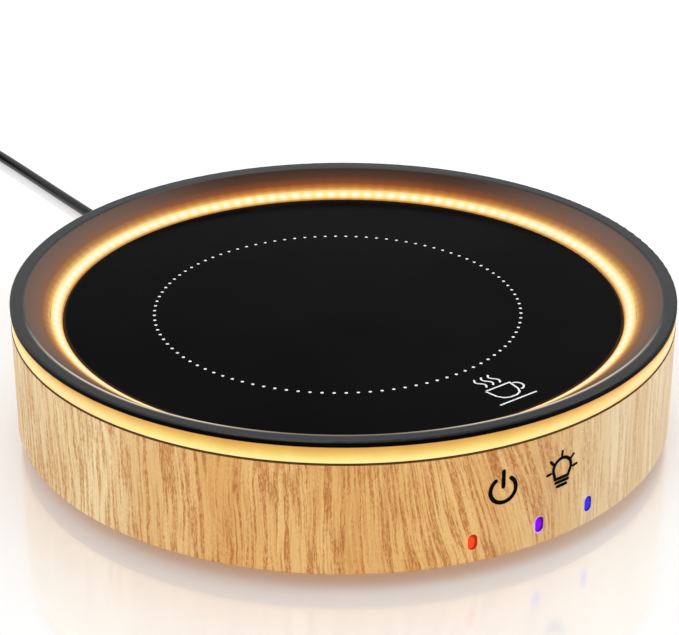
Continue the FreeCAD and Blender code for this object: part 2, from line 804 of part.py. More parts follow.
def make_base():
    body = new_body("base_cover")
    plate = sketch_on(body, "base_plate_sketch", "XY_Plane", "base_bottom")
    draw_circle(plate, "0", "0", "base_radius")
    pad(body, "base_plate", plate, "base_thickness")
    wall = sketch_on(body, "base_wall_sketch", "XY_Plane", "base_top")
    draw_circle(wall, "0", "0", "rib_radius + rib_width")
    draw_circle(wall, "0", "0", "rib_radius")
    pad(body, "base_rib", wall, "rib_height")
    boss = sketch_on(body, "boss_sketch", "XY_Plane", "base_top")
    draw_circle(boss, "post_circle", "0", "boss_radius")
    bosses = pad(body, "boss", boss, "boss_height")
    around(body, "bosses", bosses, 4)
    through = sketch_on(body, "boss_hole_sketch", "XY_Plane", "base_bottom")
    draw_circle(through, "post_circle", "0", "screw_radius + fit_clearance")
    through_holes = pocket(body, "boss_hole", through, "base_thickness + boss_height", up=True)
    around(body, "boss_holes", through_holes, 4)
    sink = sketch_on(body, "counterbore_sketch", "XY_Plane", "base_bottom")
    draw_circle(sink, "post_circle", "0", "screw_head_radius + base_clearance")
    sinks = pocket(body, "counterbore", sink, "screw_head_height + base_recess", up=True)
    around(body, "counterbores", sinks, 4)
    recess = sketch_on(body, "foot_sketch", "XY_Plane", "base_bottom")
    draw_circle(recess, "foot_circle * cos(45)", "foot_circle * sin(45)", "foot_radius + fit_clearance")
    recesses = pocket(body, "foot_recess", recess, "foot_pocket", up=True)
    around(body, "foot_recesses", recesses, 4)
    vent = sketch_on(body, "vent_sketch", "XY_Plane", "base_bottom")
    draw_outline(vent, [
        ("vent_inner", "-vent_width / 2"),
        ("vent_outer", "-vent_width / 2"),
        ("vent_outer", "vent_width / 2"),
        ("vent_inner", "vent_width / 2"),
    ])
    vents = pocket(body, "vent", vent, "base_thickness", up=True)
    around(body, "vents", vents, "vent_count")
    add_base_mounts(body)
    make_feet()
    level = size("base_bottom") + size("screw_head_height") + size("base_recess")
    screws("base_screws", screw_shape("screw", size("screw_length")),
           [polar(size("post_circle"), 90 * i, level) for i in range(4)])


def add_base_mounts(body):
    """Board posts, cord clamp seats and touch board rails, joined to the turned cover."""
    posts = []
    pilots = []
    for i, (across, along) in enumerate(board_corners()):
        place = ("board_standoff", "base_top", across, along)
        posts.append(cylinder(f"board_post_{i}", "board_post_radius", *place))
        pilots.append(cylinder(f"board_pilot_{i}", "pilot_radius", *place))
    height = "cord_level - base_top"
    for name, side in SIDES.items():
        aside = f"{side} * clamp_reach"
        seat = cylinder("clamp_post_" + name, "clamp_boss_radius", height, "base_top", "clamp_circle", aside)
        pilot = cylinder("clamp_pilot_" + name, "pilot_radius", height, "base_top", "clamp_circle", aside)
        posts.append(turn_about_axis(compound("clamp_seat_" + name, [seat]), "cord_azimuth"))
        pilots.append(turn_about_axis(compound("clamp_bore_" + name, [pilot]), "cord_azimuth"))
        posts.append(touch_rail(name, side))
    whole = fuse("base_cover_fuse", [body] + posts)
    keep(cut("base_cover_drilled", whole, compound("pilot_holes", pilots)), "base_cover")


def touch_rail(name, side):
    """A grooved upright that holds one end of the touch board."""
    depth = "rail_back + touch_board_thickness + rail_front"
    edge = f"({side} * touch_board_width - rail_width) / 2"
    grip = "(rail_width / 2 + fit_clearance)"
    rail = box("rail_block_" + name, depth, "rail_width", "rail_height", "touch_board_back - rail_back", edge,
               "base_top")
    shift = "0" if side > 0 else "rail_width / 2 - fit_clearance"
    groove = box("rail_groove_" + name, "touch_board_thickness + 2 * fit_clearance", grip, "rail_height",
                 "touch_board_back - fit_clearance", f"{edge} + {shift}", "base_top")
    return turn_about_axis(cut("rail_" + name, rail, groove), "touch_azimuth")


def make_feet():
    """Four rubber feet with a hollow underneath, pressed into pockets of the cover."""
    height = size("base_bottom") + size("foot_pocket")
    radius = size("foot_radius")
    taper = size("foot_taper")
    foot = Part.makeCone(radius - taper, radius, taper)
    foot = foot.fuse(Part.makeCylinder(radius, height - taper, Vector(0, 0, taper))).removeSplitter()
    foot = foot.cut(Part.makeCylinder(radius / 2, taper))
    feet = [foot.translated(polar(size("foot_circle"), 45 + 90 * i)) for i in range(4)]
    solid_feature("rubber_feet", Part.makeCompound(feet))


# Control board with its components

def make_control_board():
    board = box("board_blank", "board_length", "board_width", "board_thickness", "-board_length / 2",
                "board_centre_y - board_width / 2", "board_bottom")
    drills = [cylinder(f"board_hole_{i}", "small_screw_radius + fit_clearance", "board_thickness",
                       "board_bottom", across, along) for i, (across, along) in enumerate(board_corners())]
    keep(cut("board_drilled", board, compound("board_holes", drills)), "control_board")
    dx = size("board_length") / 2 - size("board_hole_inset")
    dy = size("board_width") / 2 - size("board_hole_inset")
    middle = Vector(0, size("board_centre_y"), size("board_top"))
    screws("board_screws", screw_shape("small_screw", size("board_screw_length"), upside_down=True),
           [middle + Vector(sx * dx, sy * dy, 0) for sx in SIDES.values() for sy in SIDES.values()])
    make_capacitors()
    make_inductor()
    make_triac()
    make_mains_fuse()
    make_chip()
    make_terminal()
    make_headers()


def place_of(piece):
    """Expressions for the middle of a component's foot on the control board."""
    return f"{piece}_across", f"(board_centre_y + {piece}_along)"


def board_block(name, piece, length, width, height):
    """A block that stands on the control board, centred on its component's place."""
    across, along = place_of(piece)
    return box(name, length, width, height, f"{across} - ({length}) / 2", f"{along} - ({width}) / 2",
               "board_top")


def make_capacitors():
    case = board_block("capacitor_case", "capacitor", "capacitor_length", "capacitor_width", "capacitor_height")
    keep(rounded("capacitor_rounded", case, "case_round"), "film_capacitor")
    across, along = place_of("can")
    level = "board_top + can_radius"
    start = f"{across} - can_length / 2"
    can = barrel("can_case", "can_radius", "can_length", start, along, level)
    band = f"{start} + can_crimp_reach"
    outer = barrel("crimp_outer", "can_radius + can_crimp", "2 * can_crimp", band, along, level)
    inner = barrel("crimp_inner", "can_radius - can_crimp", "2 * can_crimp", band, along, level)
    keep(cut("can_crimped", can, cut("crimp_ring", outer, inner)), "electrolytic_capacitor")


def make_inductor():
    across, along = place_of("inductor")
    waist = cylinder("inductor_core", "inductor_waist", "inductor_height", "board_top", across, along)
    foot = cylinder("inductor_foot", "inductor_radius", "inductor_flange", "board_top", across, along)
    cap = cylinder("inductor_cap", "inductor_radius", "inductor_flange",
                   "board_top + inductor_height - inductor_flange", across, along)
    keep(fuse("inductor_whole", [waist, foot, cap]), "inductor")


def make_triac():
    """A power switch that lies on its drilled metal tab."""
    across, along = place_of("triac")
    tab = board_block("triac_tab", "triac", "triac_width", "triac_tab_length", "triac_tab_thickness")
    case = box("triac_case", "triac_width", "triac_length", "triac_height", f"{across} - triac_width / 2",
               f"{along} - triac_tab_length / 2", "board_top")
    hole = cylinder("triac_hole", "triac_hole_radius", "triac_tab_thickness", "board_top", across,
                    f"{along} + triac_hole_reach")
    keep(cut("triac_drilled", fuse("triac_whole", [tab, case]), hole), "triac")


def make_mains_fuse():
    """A glass fuse with a metal cap on each end."""
    across, along = place_of("mains_fuse")
    level = "board_top + mains_fuse_cap_radius"
    start = f"{across} - mains_fuse_length / 2"
    pieces = [barrel("fuse_glass", "mains_fuse_radius", "mains_fuse_length", start, along, level)]
    for end in (0, 1):
        pieces.append(barrel(f"fuse_cap_{end}", "mains_fuse_cap_radius", "mains_fuse_cap_length",
                             f"{start} + {end} * (mains_fuse_length - mains_fuse_cap_length)", along, level))
    keep(fuse("mains_fuse_whole", pieces), "mains_fuse")


def make_chip():
    """A flat chip with a row of legs along each long side."""
    across, along = place_of("chip")
    pieces = [board_block("chip_case", "chip", "chip_width", "chip_length", "chip_height")]
    for i in range(int(size("chip_leg_count"))):
        middle = f"{along} + chip_leg_pitch * ({i} - (chip_leg_count - 1) / 2)"
        pieces.append(box(f"chip_legs_{i}", "chip_width + 2 * chip_leg_reach", "chip_leg_width",
                          "chip_leg_height", f"{across} - chip_width / 2 - chip_leg_reach",
                          f"{middle} - chip_leg_width / 2", "board_top"))
    keep(fuse("chip_whole", pieces), "microcontroller")


def make_terminal():
    """A screw terminal for the two mains cores, open towards the cord."""
    across, along = place_of("terminal")
    case = board_block("terminal_case", "terminal", "terminal_length", "terminal_width", "terminal_height")
    holes = []
    for name, side in SIDES.items():
        middle = f"{across} + {side} * terminal_pitch / 2"
        holes.append(barrel("terminal_mouth_" + name, "terminal_mouth_radius", "terminal_mouth_depth", middle,
                            f"{along} + terminal_width / 2", "board_top + terminal_height / 2", -90))
        holes.append(cylinder("terminal_screw_" + name, "terminal_screw_radius", "terminal_screw_depth",
                              "board_top + terminal_height - terminal_screw_depth", middle, along))
    block = rounded("terminal_rounded", case, "case_round")
    keep(cut("terminal_bored", block, compound("terminal_holes", holes)), "terminal_block")


def make_headers():
    """Three open sockets in a row, for the heater, light ring and touch cables."""
    sockets = []
    along = "(board_centre_y + header_along)"
    for i in HEADERS.values():
        across = f"{i} * header_spacing"
        shell = box(f"header_shell_{i + 1}", "header_length", "header_width", "header_height",
                    f"{across} - header_length / 2", f"{along} - header_width / 2", "board_top")
        well = box(f"header_well_{i + 1}", "header_length - 2 * header_wall", "header_width - 2 * header_wall",
                   "header_height - header_floor", f"{across} - header_length / 2 + header_wall",
                   f"{along} - header_width / 2 + header_wall", "board_top + header_floor")
        sockets.append(cut(f"header_{i + 1}", shell, well))
    keep(compound("header_row", sockets), "cable_headers")


HEADERS = {"heater": -1, "lights": 0, "touch": 1}


# Touch keys: upright board, foam pads, indicator lights

def make_touch_keys():
    board = box("touch_blank", "touch_board_thickness", "touch_board_width",
                "shelf_bottom - pan_sheet - base_clearance - base_top", "touch_board_back",
                "-touch_board_width / 2", "base_top")
    keep(turn_about_axis(compound("touch_turned", [board]), "touch_azimuth"), "touch_board")
    pillars = [barrel(key + "_pillar", "touch_pad_radius", "2 * touch_board_gap", "touch_board_front",
                      aside(key + "_key_azimuth"), "key_level") for key in ("power", "lamp")]
    bore = cylinder("pad_limit", "sleeve_inner_radius - thread_clearance", "sleeve_height", "sleeve_bottom")
    pads = common("pads_trimmed", compound("pad_pillars", pillars), bore)
    keep(turn_about_axis(compound("pads_turned", [pads]), "touch_azimuth"), "touch_pads")
    lamps = [box(colour + "_lamp", "chip_lamp_depth", "chip_lamp_width", "chip_lamp_height",
                 "touch_board_front", f"{aside(colour + '_azimuth')} - chip_lamp_width / 2",
                 "indicator_level - chip_lamp_height / 2") for colour in COLOURS]
    keep(turn_about_axis(compound("lamps_turned", lamps), "touch_azimuth"), "indicator_leds")


def aside(azimuth):
    """How far aside of the touch board's middle a key or light lies, as an expression."""
    return f"sleeve_inner_radius * sin({azimuth} - touch_azimuth)"


# Wires and cord: straight runs joined by tangent arcs

def tube_path(points, smallest=None):
    """Edges along a route: runs joined by arcs as large as the runs allow. Returns edges and radii."""
    edges = []
    radii = []
    here = points[0]
    for before, corner, after in zip(points, points[1:], points[2:]):
        into = (corner - before).normalize()
        out = (after - corner).normalize()
        turn = into.getAngle(out)
        back = 0.45 * min(before.distanceToPoint(corner), corner.distanceToPoint(after))
        radius = back / math.tan(turn / 2)
        start = corner - into * back
        end = corner + out * back
        inside = (out - into).normalize()
        centre = corner + inside * (radius / math.cos(turn / 2))
        middle = centre - inside * radius
        edges.append(Part.LineSegment(here, start).toShape())
        edges.append(Part.Arc(start, middle, end).toShape())
        here = end
        radii.append(radius)
    edges.append(Part.LineSegment(here, points[-1]).toShape())
    return edges, radii


def tube(edges, radius, name):
    """A round tube along edges, its volume compared with section times length."""
    path = Part.Wire(edges)
    start = edges[0].valueAt(edges[0].FirstParameter)
    along = edges[0].tangentAt(edges[0].FirstParameter)
    section = Part.Wire([Part.Circle(start, along, radius).toShape()])
    solid = path.makePipeShell([section], True, False)
    length = path.Length
    expected = math.pi * radius ** 2 * length
    print(f"{name}: length {length:.1f} mm, volume {solid.Volume / expected:.4f} of section times length")
    return solid, length


def wire(name, points, radius):
    edges, radii = tube_path(points)
    return tube(edges, radius, name)[0]


def make_inner_wires():
    """The sheathed lead from the cord to its clamp, and its two cores to the terminal block."""
    azimuth = size("cord_azimuth")
    level = size("cord_level")
    start = polar(size("outer_radius") - size("relief_tail"), azimuth, level)
    end = polar(size("clamp_circle") - size("clamp_width"), azimuth, level)
    sheath = Part.makeCylinder(size("cord_radius"), (end - start).Length, start, end - start)
    solid_feature("mains_lead", sheath)
    radius = size("core_radius")
    aside = polar(radius + size("fit_clearance") / 4, azimuth + 90)
    inward = polar(size("core_lead"), azimuth + 180)
    outside = Vector(0, size("core_lead"), 0)
    mouth_level = size("board_top") + size("terminal_height") / 2
    mouth_along = size("board_centre_y") + size("terminal_along") + size("terminal_width") / 2
    cores = []
    for side in SIDES.values():
        mouth = Vector(size("terminal_across") + side * size("terminal_pitch") / 2, mouth_along, mouth_level)
        root = end - aside * side
        cores.append(wire("mains_core", [root, root + inward, mouth + outside, mouth], radius))
    solid_feature("mains_cores", Part.makeCompound(cores))


def make_cables():
    """Cables from the control board's headers to the pan, the light ring and the touch board."""
    radius = size("cable_radius")
    floor = size("board_top") + size("header_floor")
    starts = {name: Vector(i * size("header_spacing"), size("board_centre_y") + size("header_along"), floor)
              for name, i in HEADERS.items()}
    rise = Vector(0, 0, size("cable_rise"))
    heater = starts["heater"]
    pan = Vector(heater.x, heater.y, size("pan_bottom"))
    solid_feature("heater_cable", wire("heater_cable", [heater, pan], radius))
    azimuth = size("led_cable_azimuth")
    under_ring = polar(size("led_boss_circle"), azimuth, floor + size("cable_rise"))
    ring = polar(size("led_boss_circle"), azimuth, size("led_board_bottom"))
    route = [starts["lights"], starts["lights"] + rise, under_ring, ring]
    solid_feature("led_cable", wire("led_cable", route, radius))
    azimuth = size("touch_azimuth")
    back = polar(size("touch_board_back"), azimuth, size("board_top") + size("touch_cable_rise"))
    route = [starts["touch"], starts["touch"] + rise, back - polar(size("cable_lead"), azimuth), back]
    solid_feature("touch_cable", wire("touch_cable", route, radius))


def make_clamp():
    """A saddle over the lead, held by two screws."""
    bar = box("clamp_blank", "clamp_width", "clamp_length", "clamp_thickness", "clamp_circle - clamp_width / 2",
              "-clamp_length / 2", "cord_level")
    holes = [barrel("clamp_groove", "cord_radius + fit_clearance / 2", "clamp_width",
                    "clamp_circle - clamp_width / 2", "0", "cord_level")]
    for name, side in SIDES.items():
        holes.append(cylinder("clamp_hole_" + name, "small_screw_radius + fit_clearance", "clamp_thickness",
                              "cord_level", "clamp_circle", f"{side} * clamp_reach"))
    saddle = cut("clamp_bored", rounded("clamp_rounded", bar, "clamp_round"), compound("clamp_holes", holes))
    keep(turn_about_axis(compound("clamp_turned", [saddle]), "cord_azimuth"), "cord_clamp")
    azimuth = size("cord_azimuth")
    middle = polar(size("clamp_circle"), azimuth, size("cord_level") + size("clamp_thickness"))
    across = polar(size("clamp_reach"), azimuth + 90)
    length = size("clamp_thickness") + size("clamp_screw_grip")
    screws("clamp_screws", screw_shape("small_screw", length, upside_down=True),
           [middle + across * side for side in SIDES.values()])


def relief_turn():
    """Turns Z to the direction in which the cord leaves."""
    return Rotation(Vector(0, 0, 1), size("cord_azimuth")).multiply(QUARTER_TURN)


def make_relief():
    """A rubber bush in the sleeve's wall with a tapered, ringed tail round the cord."""
    body = new_body("strain_relief")
    bore = "cord_radius + fit_clearance / 2"
    flange = "sleeve_wall * 0.75"
    back = "(sleeve_wall + base_clearance / 2)"
    revolve(body, "relief_turned", [
        (bore, f"-{back} - {flange}"),
        ("relief_root_radius", f"-{back} - {flange}"),
        ("relief_root_radius", f"-{back}"),
        ("relief_neck_radius", f"-{back}"),
        ("relief_neck_radius", "fit_clearance / 4"),
        ("relief_flange_radius", "fit_clearance / 4"),
        ("relief_flange_radius", flange),
        ("relief_root_radius", flange),
        ("relief_tip_radius", "relief_length"),
        (bore, "relief_length"),
    ])
    for i in range(int(size("relief_ring_count"))):
        share = f"({i} + 1) / (relief_ring_count + 1)"
        low = f"{share} * relief_length"
        high = f"{low} + relief_ring_width"
        deep = f"relief_root_radius + (relief_tip_radius - relief_root_radius) * {share} - relief_ring_depth"
        ring = sketch_on(body, f"relief_ring_{i}", "XZ_Plane")
        rim = "relief_flange_radius"
        draw_outline(ring, [(deep, low), (rim, low), (rim, high), (deep, high)])
        before = body.Shape.Volume
        groove = body.newObject("PartDesign::Groove", f"relief_groove_{i}")
        groove.Profile = ring
        groove.ReferenceAxis = (ring, ["V_Axis"])
        groove.Angle = 360
        doc.recompute()
        if body.Shape.Volume > before - VOLUME_MARGIN:
            raise RuntimeError("a ring of the relief cuts nothing")
    hole = polar(size("outer_radius"), size("cord_azimuth"), size("cord_level"))
    body.Placement = Placement(hole, relief_turn())
    keep(body, "strain_relief")


# Route of the cord past its strain relief to the coil: offsets from the cord's hole, levels from the floor
CORD_ROUTE = [
    Vector(-17.1, 29.25, 9.0),
    Vector(-24.9, 40.45, 1.5),
    Vector(-40.9, 62.45, 1.5),
    Vector(-67.9, 101.25, 1.5),
    Vector(-82.1, 119.25, 1.5),
]

# From the coil's end to the plug: run, turn from the coil's last direction, share of the descent
TAIL_STEPS = [(10.0, 0.0, 0.0), (15.0, -16.0, 1.0), (14.0, -34.0, 1.0), (10.0, -42.0, 1.0)]


def biarc(start, start_dir, end, end_dir):
    """Two tangent arcs from a point and direction to another."""
    chord = end - start
    total = start_dir + end_dir
    spread = 2 * (1 - start_dir.dot(end_dir))
    along = chord.dot(total)
    if spread < 1e-9:
        reach = chord.dot(chord) / (4 * chord.dot(end_dir))
    else:
        reach = (-along + math.sqrt(along ** 2 + spread * chord.dot(chord))) / spread
    first = start + start_dir * reach
    second = end - end_dir * reach
    joint = (first + second) * 0.5
    return [arc_by_corner(start, first, joint), arc_by_corner(joint, second, end)]


def arc_by_corner(start, corner, end):
    """The arc that touches both legs of an isosceles corner."""
    middle = (start + end) * 0.5
    half = start.distanceToPoint(end) / 2
    rise = corner.distanceToPoint(middle)
    turn = math.atan2(rise, half)
    lift = half * math.tan(turn / 2)
    return Part.Arc(start, middle + (corner - middle) * (lift / rise), end).toShape()


def coil_line(centre, start_angle):
    """Points and directions each quarter turn of a coil piled in layers, in and out by turns."""
    pitch = size("coil_pitch")
    turns = int(size("coil_turns_per_layer"))
    layers = int(size("coil_layers"))
    outer = size("coil_radius") + turns * pitch / 2
    inner = size("coil_radius") - turns * pitch / 2
    stations = []
    angle = start_angle
    for layer in range(layers):
        inwards = layer % 2 == 0
        begin, finish = (outer, inner) if inwards else (inner, outer)
        for quarter in range(4 * turns):
            share = quarter / (4 * turns)
            stations.append((angle, begin + (finish - begin) * share, layer * pitch))
            angle += math.pi / 2
        if layer < layers - 1:
            for quarter in range(2):
                rise = (0.0, 0.5)[quarter]
                stations.append((angle, finish, (layer + rise) * pitch))
                angle += math.pi / 2
    stations.append((angle, finish, (layers - 1) * pitch))
    line = []
    for i, (angle, radius, height) in enumerate(stations):
        before = stations[max(i - 1, 0)]
        after = stations[min(i + 1, len(stations) - 1)]
        step = after[0] - before[0]
        growth = (after[1] - before[1]) / step
        climb = (after[2] - before[2]) / step
        if i in (0, len(stations) - 1):
            growth = 0.0
        if height == round(height / pitch) * pitch:
            climb = 0.0
        out = Vector(math.cos(angle), math.sin(angle), 0)
        aside = Vector(-math.sin(angle), math.cos(angle), 0)
        direction = (out * growth + aside * radius + Vector(0, 0, climb)).normalize()
        line.append((centre + out * radius + Vector(0, 0, height), direction))
    return line


def least_gap(edges, diameter):
    """The least gap between turns of a tube, measured on points a millimetre apart."""
    points = Part.Wire(edges).discretize(Distance=1.0)
    skip = int(4 * diameter)
    least = min(points[i].distanceToPoint(points[j]) for i in range(len(points))
                for j in range(i + skip, len(points)))
    return least - diameter


def make_cord():
    """The cord's free stretch, its put-away coil and the tail that ends in the plug."""
    radius = size("cord_radius")
    azimuth = size("cord_azimuth")
    inside = polar(size("outer_radius") - size("relief_tail"), azimuth, size("cord_level"))
    tip = polar(size("outer_radius") + size("relief_length") + size("cord_diameter"), azimuth, size("cord_level"))
    hole = polar(size("outer_radius"), azimuth)
    route = [hole + offset for offset in CORD_ROUTE]
    edges, radii = tube_path([inside, tip] + route)
    print("cord radii", [round(value, 1) for value in radii])
    free, free_length = tube(edges, radius, "power_cord")
    solid_feature("power_cord", free)

    finish, heading, coil_length = make_coil(route[-1], (route[-1] - route[-2]).normalize())

    seat_level = size("plug_thickness") / 2
    points = [finish]
    for run, turn, share in TAIL_STEPS:
        point = points[-1] + Rotation(Vector(0, 0, 1), turn).multVec(heading) * run
        points.append(Vector(point.x, point.y, finish.z + (seat_level - finish.z) * share))
    edges, radii = tube_path(points)
    print("tail radii", [round(value, 1) for value in radii])
    tail, tail_length = tube(edges, radius, "cord_tail")
    solid_feature("cord_tail", tail)
    print(f"cord length in all {free_length + coil_length + tail_length:.0f} mm")
    make_plug(points[-1], (points[-1] - points[-2]).normalize())


def make_coil(entry, heading):
    """The coil with a straight lead at each end. Returns its last point, direction and length."""
    diameter = size("cord_diameter")
    left = Vector(-heading.y, heading.x, 0)
    start = entry + heading * diameter
    outer = size("coil_radius") + size("coil_turns_per_layer") * size("coil_pitch") / 2
    line = coil_line(start + left * outer, math.atan2(-left.y, -left.x))
    edges = [Part.LineSegment(entry, start).toShape()]
    for (here, here_dir), (there, there_dir) in zip(line, line[1:]):
        edges += biarc(here, here_dir, there, there_dir)
    last, last_dir = line[-1]
    finish = last + last_dir * diameter
    edges.append(Part.LineSegment(last, finish).toShape())
    print("coil: least gap between turns", round(least_gap(edges, diameter), 2), "mm")
    coil, length = tube(edges, size("cord_radius"), "cord_coil")
    solid_feature("cord_coil", coil)
    return finish, Vector(last_dir.x, last_dir.y, 0).normalize(), length


# Radii of the plug's relief in cord radii, and the head's sections: shares of length, width and thickness
RELIEF_TIP = 1.5
RELIEF_ROOT = 2.1
RELIEF_CORE = 1.4
HEAD_SECTIONS = [(0.0, 0.2, 0.31), (0.3, 0.72, 0.8), (0.6, 1.0, 0.96), (1.0, 1.0, 1.0)]


def make_plug(seat, direction):
    """A moulded two-blade mains plug lying on its side, with a ringed strain relief."""
    length = size("plug_length")
    relief = size("plug_relief_length")
    radius = size("cord_radius")
    forward = Vector(1, 0, 0)
    sections = [plug_section(relief + along * length, across * size("plug_width"), high * size("plug_thickness"))
                for along, across, high in HEAD_SECTIONS]
    tail = Part.makeCone(RELIEF_TIP * radius, RELIEF_ROOT * radius, relief, Vector(0, 0, 0), forward)
    whole = tail.fuse(Part.makeLoft(sections, True, False)).removeSplitter()
    for i in range(int(size("plug_ring_count"))):
        start = forward * (size("plug_ring_start") + size("plug_ring_pitch") * i)
        outer = Part.makeCylinder(2 * RELIEF_ROOT * radius, size("plug_ring_width"), start, forward)
        core = Part.makeCylinder(RELIEF_CORE * radius, size("plug_ring_width"), start, forward)
        whole = whole.cut(outer.cut(core))
    place = outward(math.degrees(math.atan2(direction.y, direction.x)), seat)
    solid_feature("plug_body", whole, place)
    face = relief + length
    thickness = size("blade_thickness")
    blades = []
    for side in SIDES.values():
        middle = side * size("blade_spacing") / 2
        corner = Vector(face, middle - thickness / 2, -size("blade_width") / 2)
        blade = Part.makeBox(size("blade_length"), thickness, size("blade_width"), corner)
        hole = Part.makeCylinder(size("blade_hole_radius"), thickness,
                                 Vector(face + size("blade_length") * 0.7, middle - thickness / 2, 0),
                                 Vector(0, 1, 0))
        blades.append(blade.cut(hole))
    solid_feature("plug_blades", Part.makeCompound(blades), place)


def plug_section(along, width, height):
    """A rounded rectangle across the plug."""
    corner = 0.3 * min(width, height)
    bulge = corner * (1 - math.sqrt(0.5))
    x = width / 2
    z = height / 2
    points = []
    for sx, sz in ((1, 1), (-1, 1), (-1, -1), (1, -1)):
        side = Vector(along, sx * x, sz * (z - corner))
        middle = Vector(along, sx * (x - bulge), sz * (z - bulge))
        top = Vector(along, sx * (x - corner), sz * z)
        points.append((side, middle, top) if sx * sz > 0 else (top, middle, side))
    edges = []
    for i, (start, middle, end) in enumerate(points):
        edges.append(Part.Arc(start, middle, end).toShape())
        edges.append(Part.LineSegment(end, points[(i + 1) % 4][0]).toShape())
    return Part.Wire(edges)


make_sleeve()
make_light_guide()
make_rim()
make_plate()
make_heater()
make_light_ring()
make_base()
make_control_board()
make_touch_keys()
for colour in COLOURS:
    make_indicator(colour)
make_inner_wires()
make_cables()
make_clamp()
make_relief()
make_cord()
doc.recompute()

# Nothing is written unless every object and every piece is sound
for thing in doc.Objects:
    if "Invalid" in thing.State or "Error" in thing.State:
        raise RuntimeError(f"{thing.Label}: {thing.State}")
for node in NODES:
    if node.Shape.isNull() or not node.Shape.isValid() or not node.Shape.Solids:
        raise RuntimeError(f"{node.Label} has no sound shape")
for node in NODES:
    node.Shape.exportStep(f"parts/{node.Label}.step")
print(len(NODES), "pieces written")
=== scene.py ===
import math
import bpy
import bmesh
from mathutils import Matrix, Vector


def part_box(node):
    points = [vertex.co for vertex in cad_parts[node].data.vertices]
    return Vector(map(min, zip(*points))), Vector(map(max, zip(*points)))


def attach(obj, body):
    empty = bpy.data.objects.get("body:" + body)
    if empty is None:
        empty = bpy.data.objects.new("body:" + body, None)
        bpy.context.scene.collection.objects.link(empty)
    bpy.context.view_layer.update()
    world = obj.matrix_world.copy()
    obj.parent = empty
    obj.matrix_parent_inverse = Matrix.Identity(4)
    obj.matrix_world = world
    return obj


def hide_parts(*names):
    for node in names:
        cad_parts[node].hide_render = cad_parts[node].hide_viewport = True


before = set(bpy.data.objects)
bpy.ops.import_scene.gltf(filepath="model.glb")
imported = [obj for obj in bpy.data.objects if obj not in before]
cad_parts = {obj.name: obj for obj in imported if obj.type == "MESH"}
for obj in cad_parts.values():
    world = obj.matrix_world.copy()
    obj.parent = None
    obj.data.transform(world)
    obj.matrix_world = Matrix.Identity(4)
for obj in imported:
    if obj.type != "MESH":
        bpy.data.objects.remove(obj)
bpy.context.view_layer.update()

mm = 0.001
print("frame loaded", len(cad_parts), "pieces")

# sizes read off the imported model, so that everything below follows it
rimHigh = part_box("top_rim")[1]
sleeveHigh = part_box("wood_sleeve")[1]
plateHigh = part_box("glass_plate")[1]
bodyRadius = rimHigh.x
plateRadius = plateHigh.x
plateTop = plateHigh.z
creaseAngle = math.radians(32)      # edges sharper than this stay crisp


class Wire:
    # a socket that can be used in sums, so shader maths reads as maths
    def __init__(self, shade, socket):
        self.shade = shade
        self.socket = socket

    def __add__(self, other):
        return self.shade.maths("ADD", self, other)

    def __sub__(self, other):
        return self.shade.maths("SUBTRACT", self, other)

    def __mul__(self, other):
        return self.shade.maths("MULTIPLY", self, other)

    def __truediv__(self, other):
        return self.shade.maths("DIVIDE", self, other)

    def __pow__(self, other):
        return self.shade.maths("POWER", self, other)

    def __radd__(self, other):
        return self.shade.maths("ADD", other, self)

    def __rsub__(self, other):
        return self.shade.maths("SUBTRACT", other, self)

    def __rmul__(self, other):
        return self.shade.maths("MULTIPLY", other, self)

    def __gt__(self, other):
        return self.shade.maths("GREATER_THAN", self, other)

    def __lt__(self, other):
        return self.shade.maths("LESS_THAN", self, other)


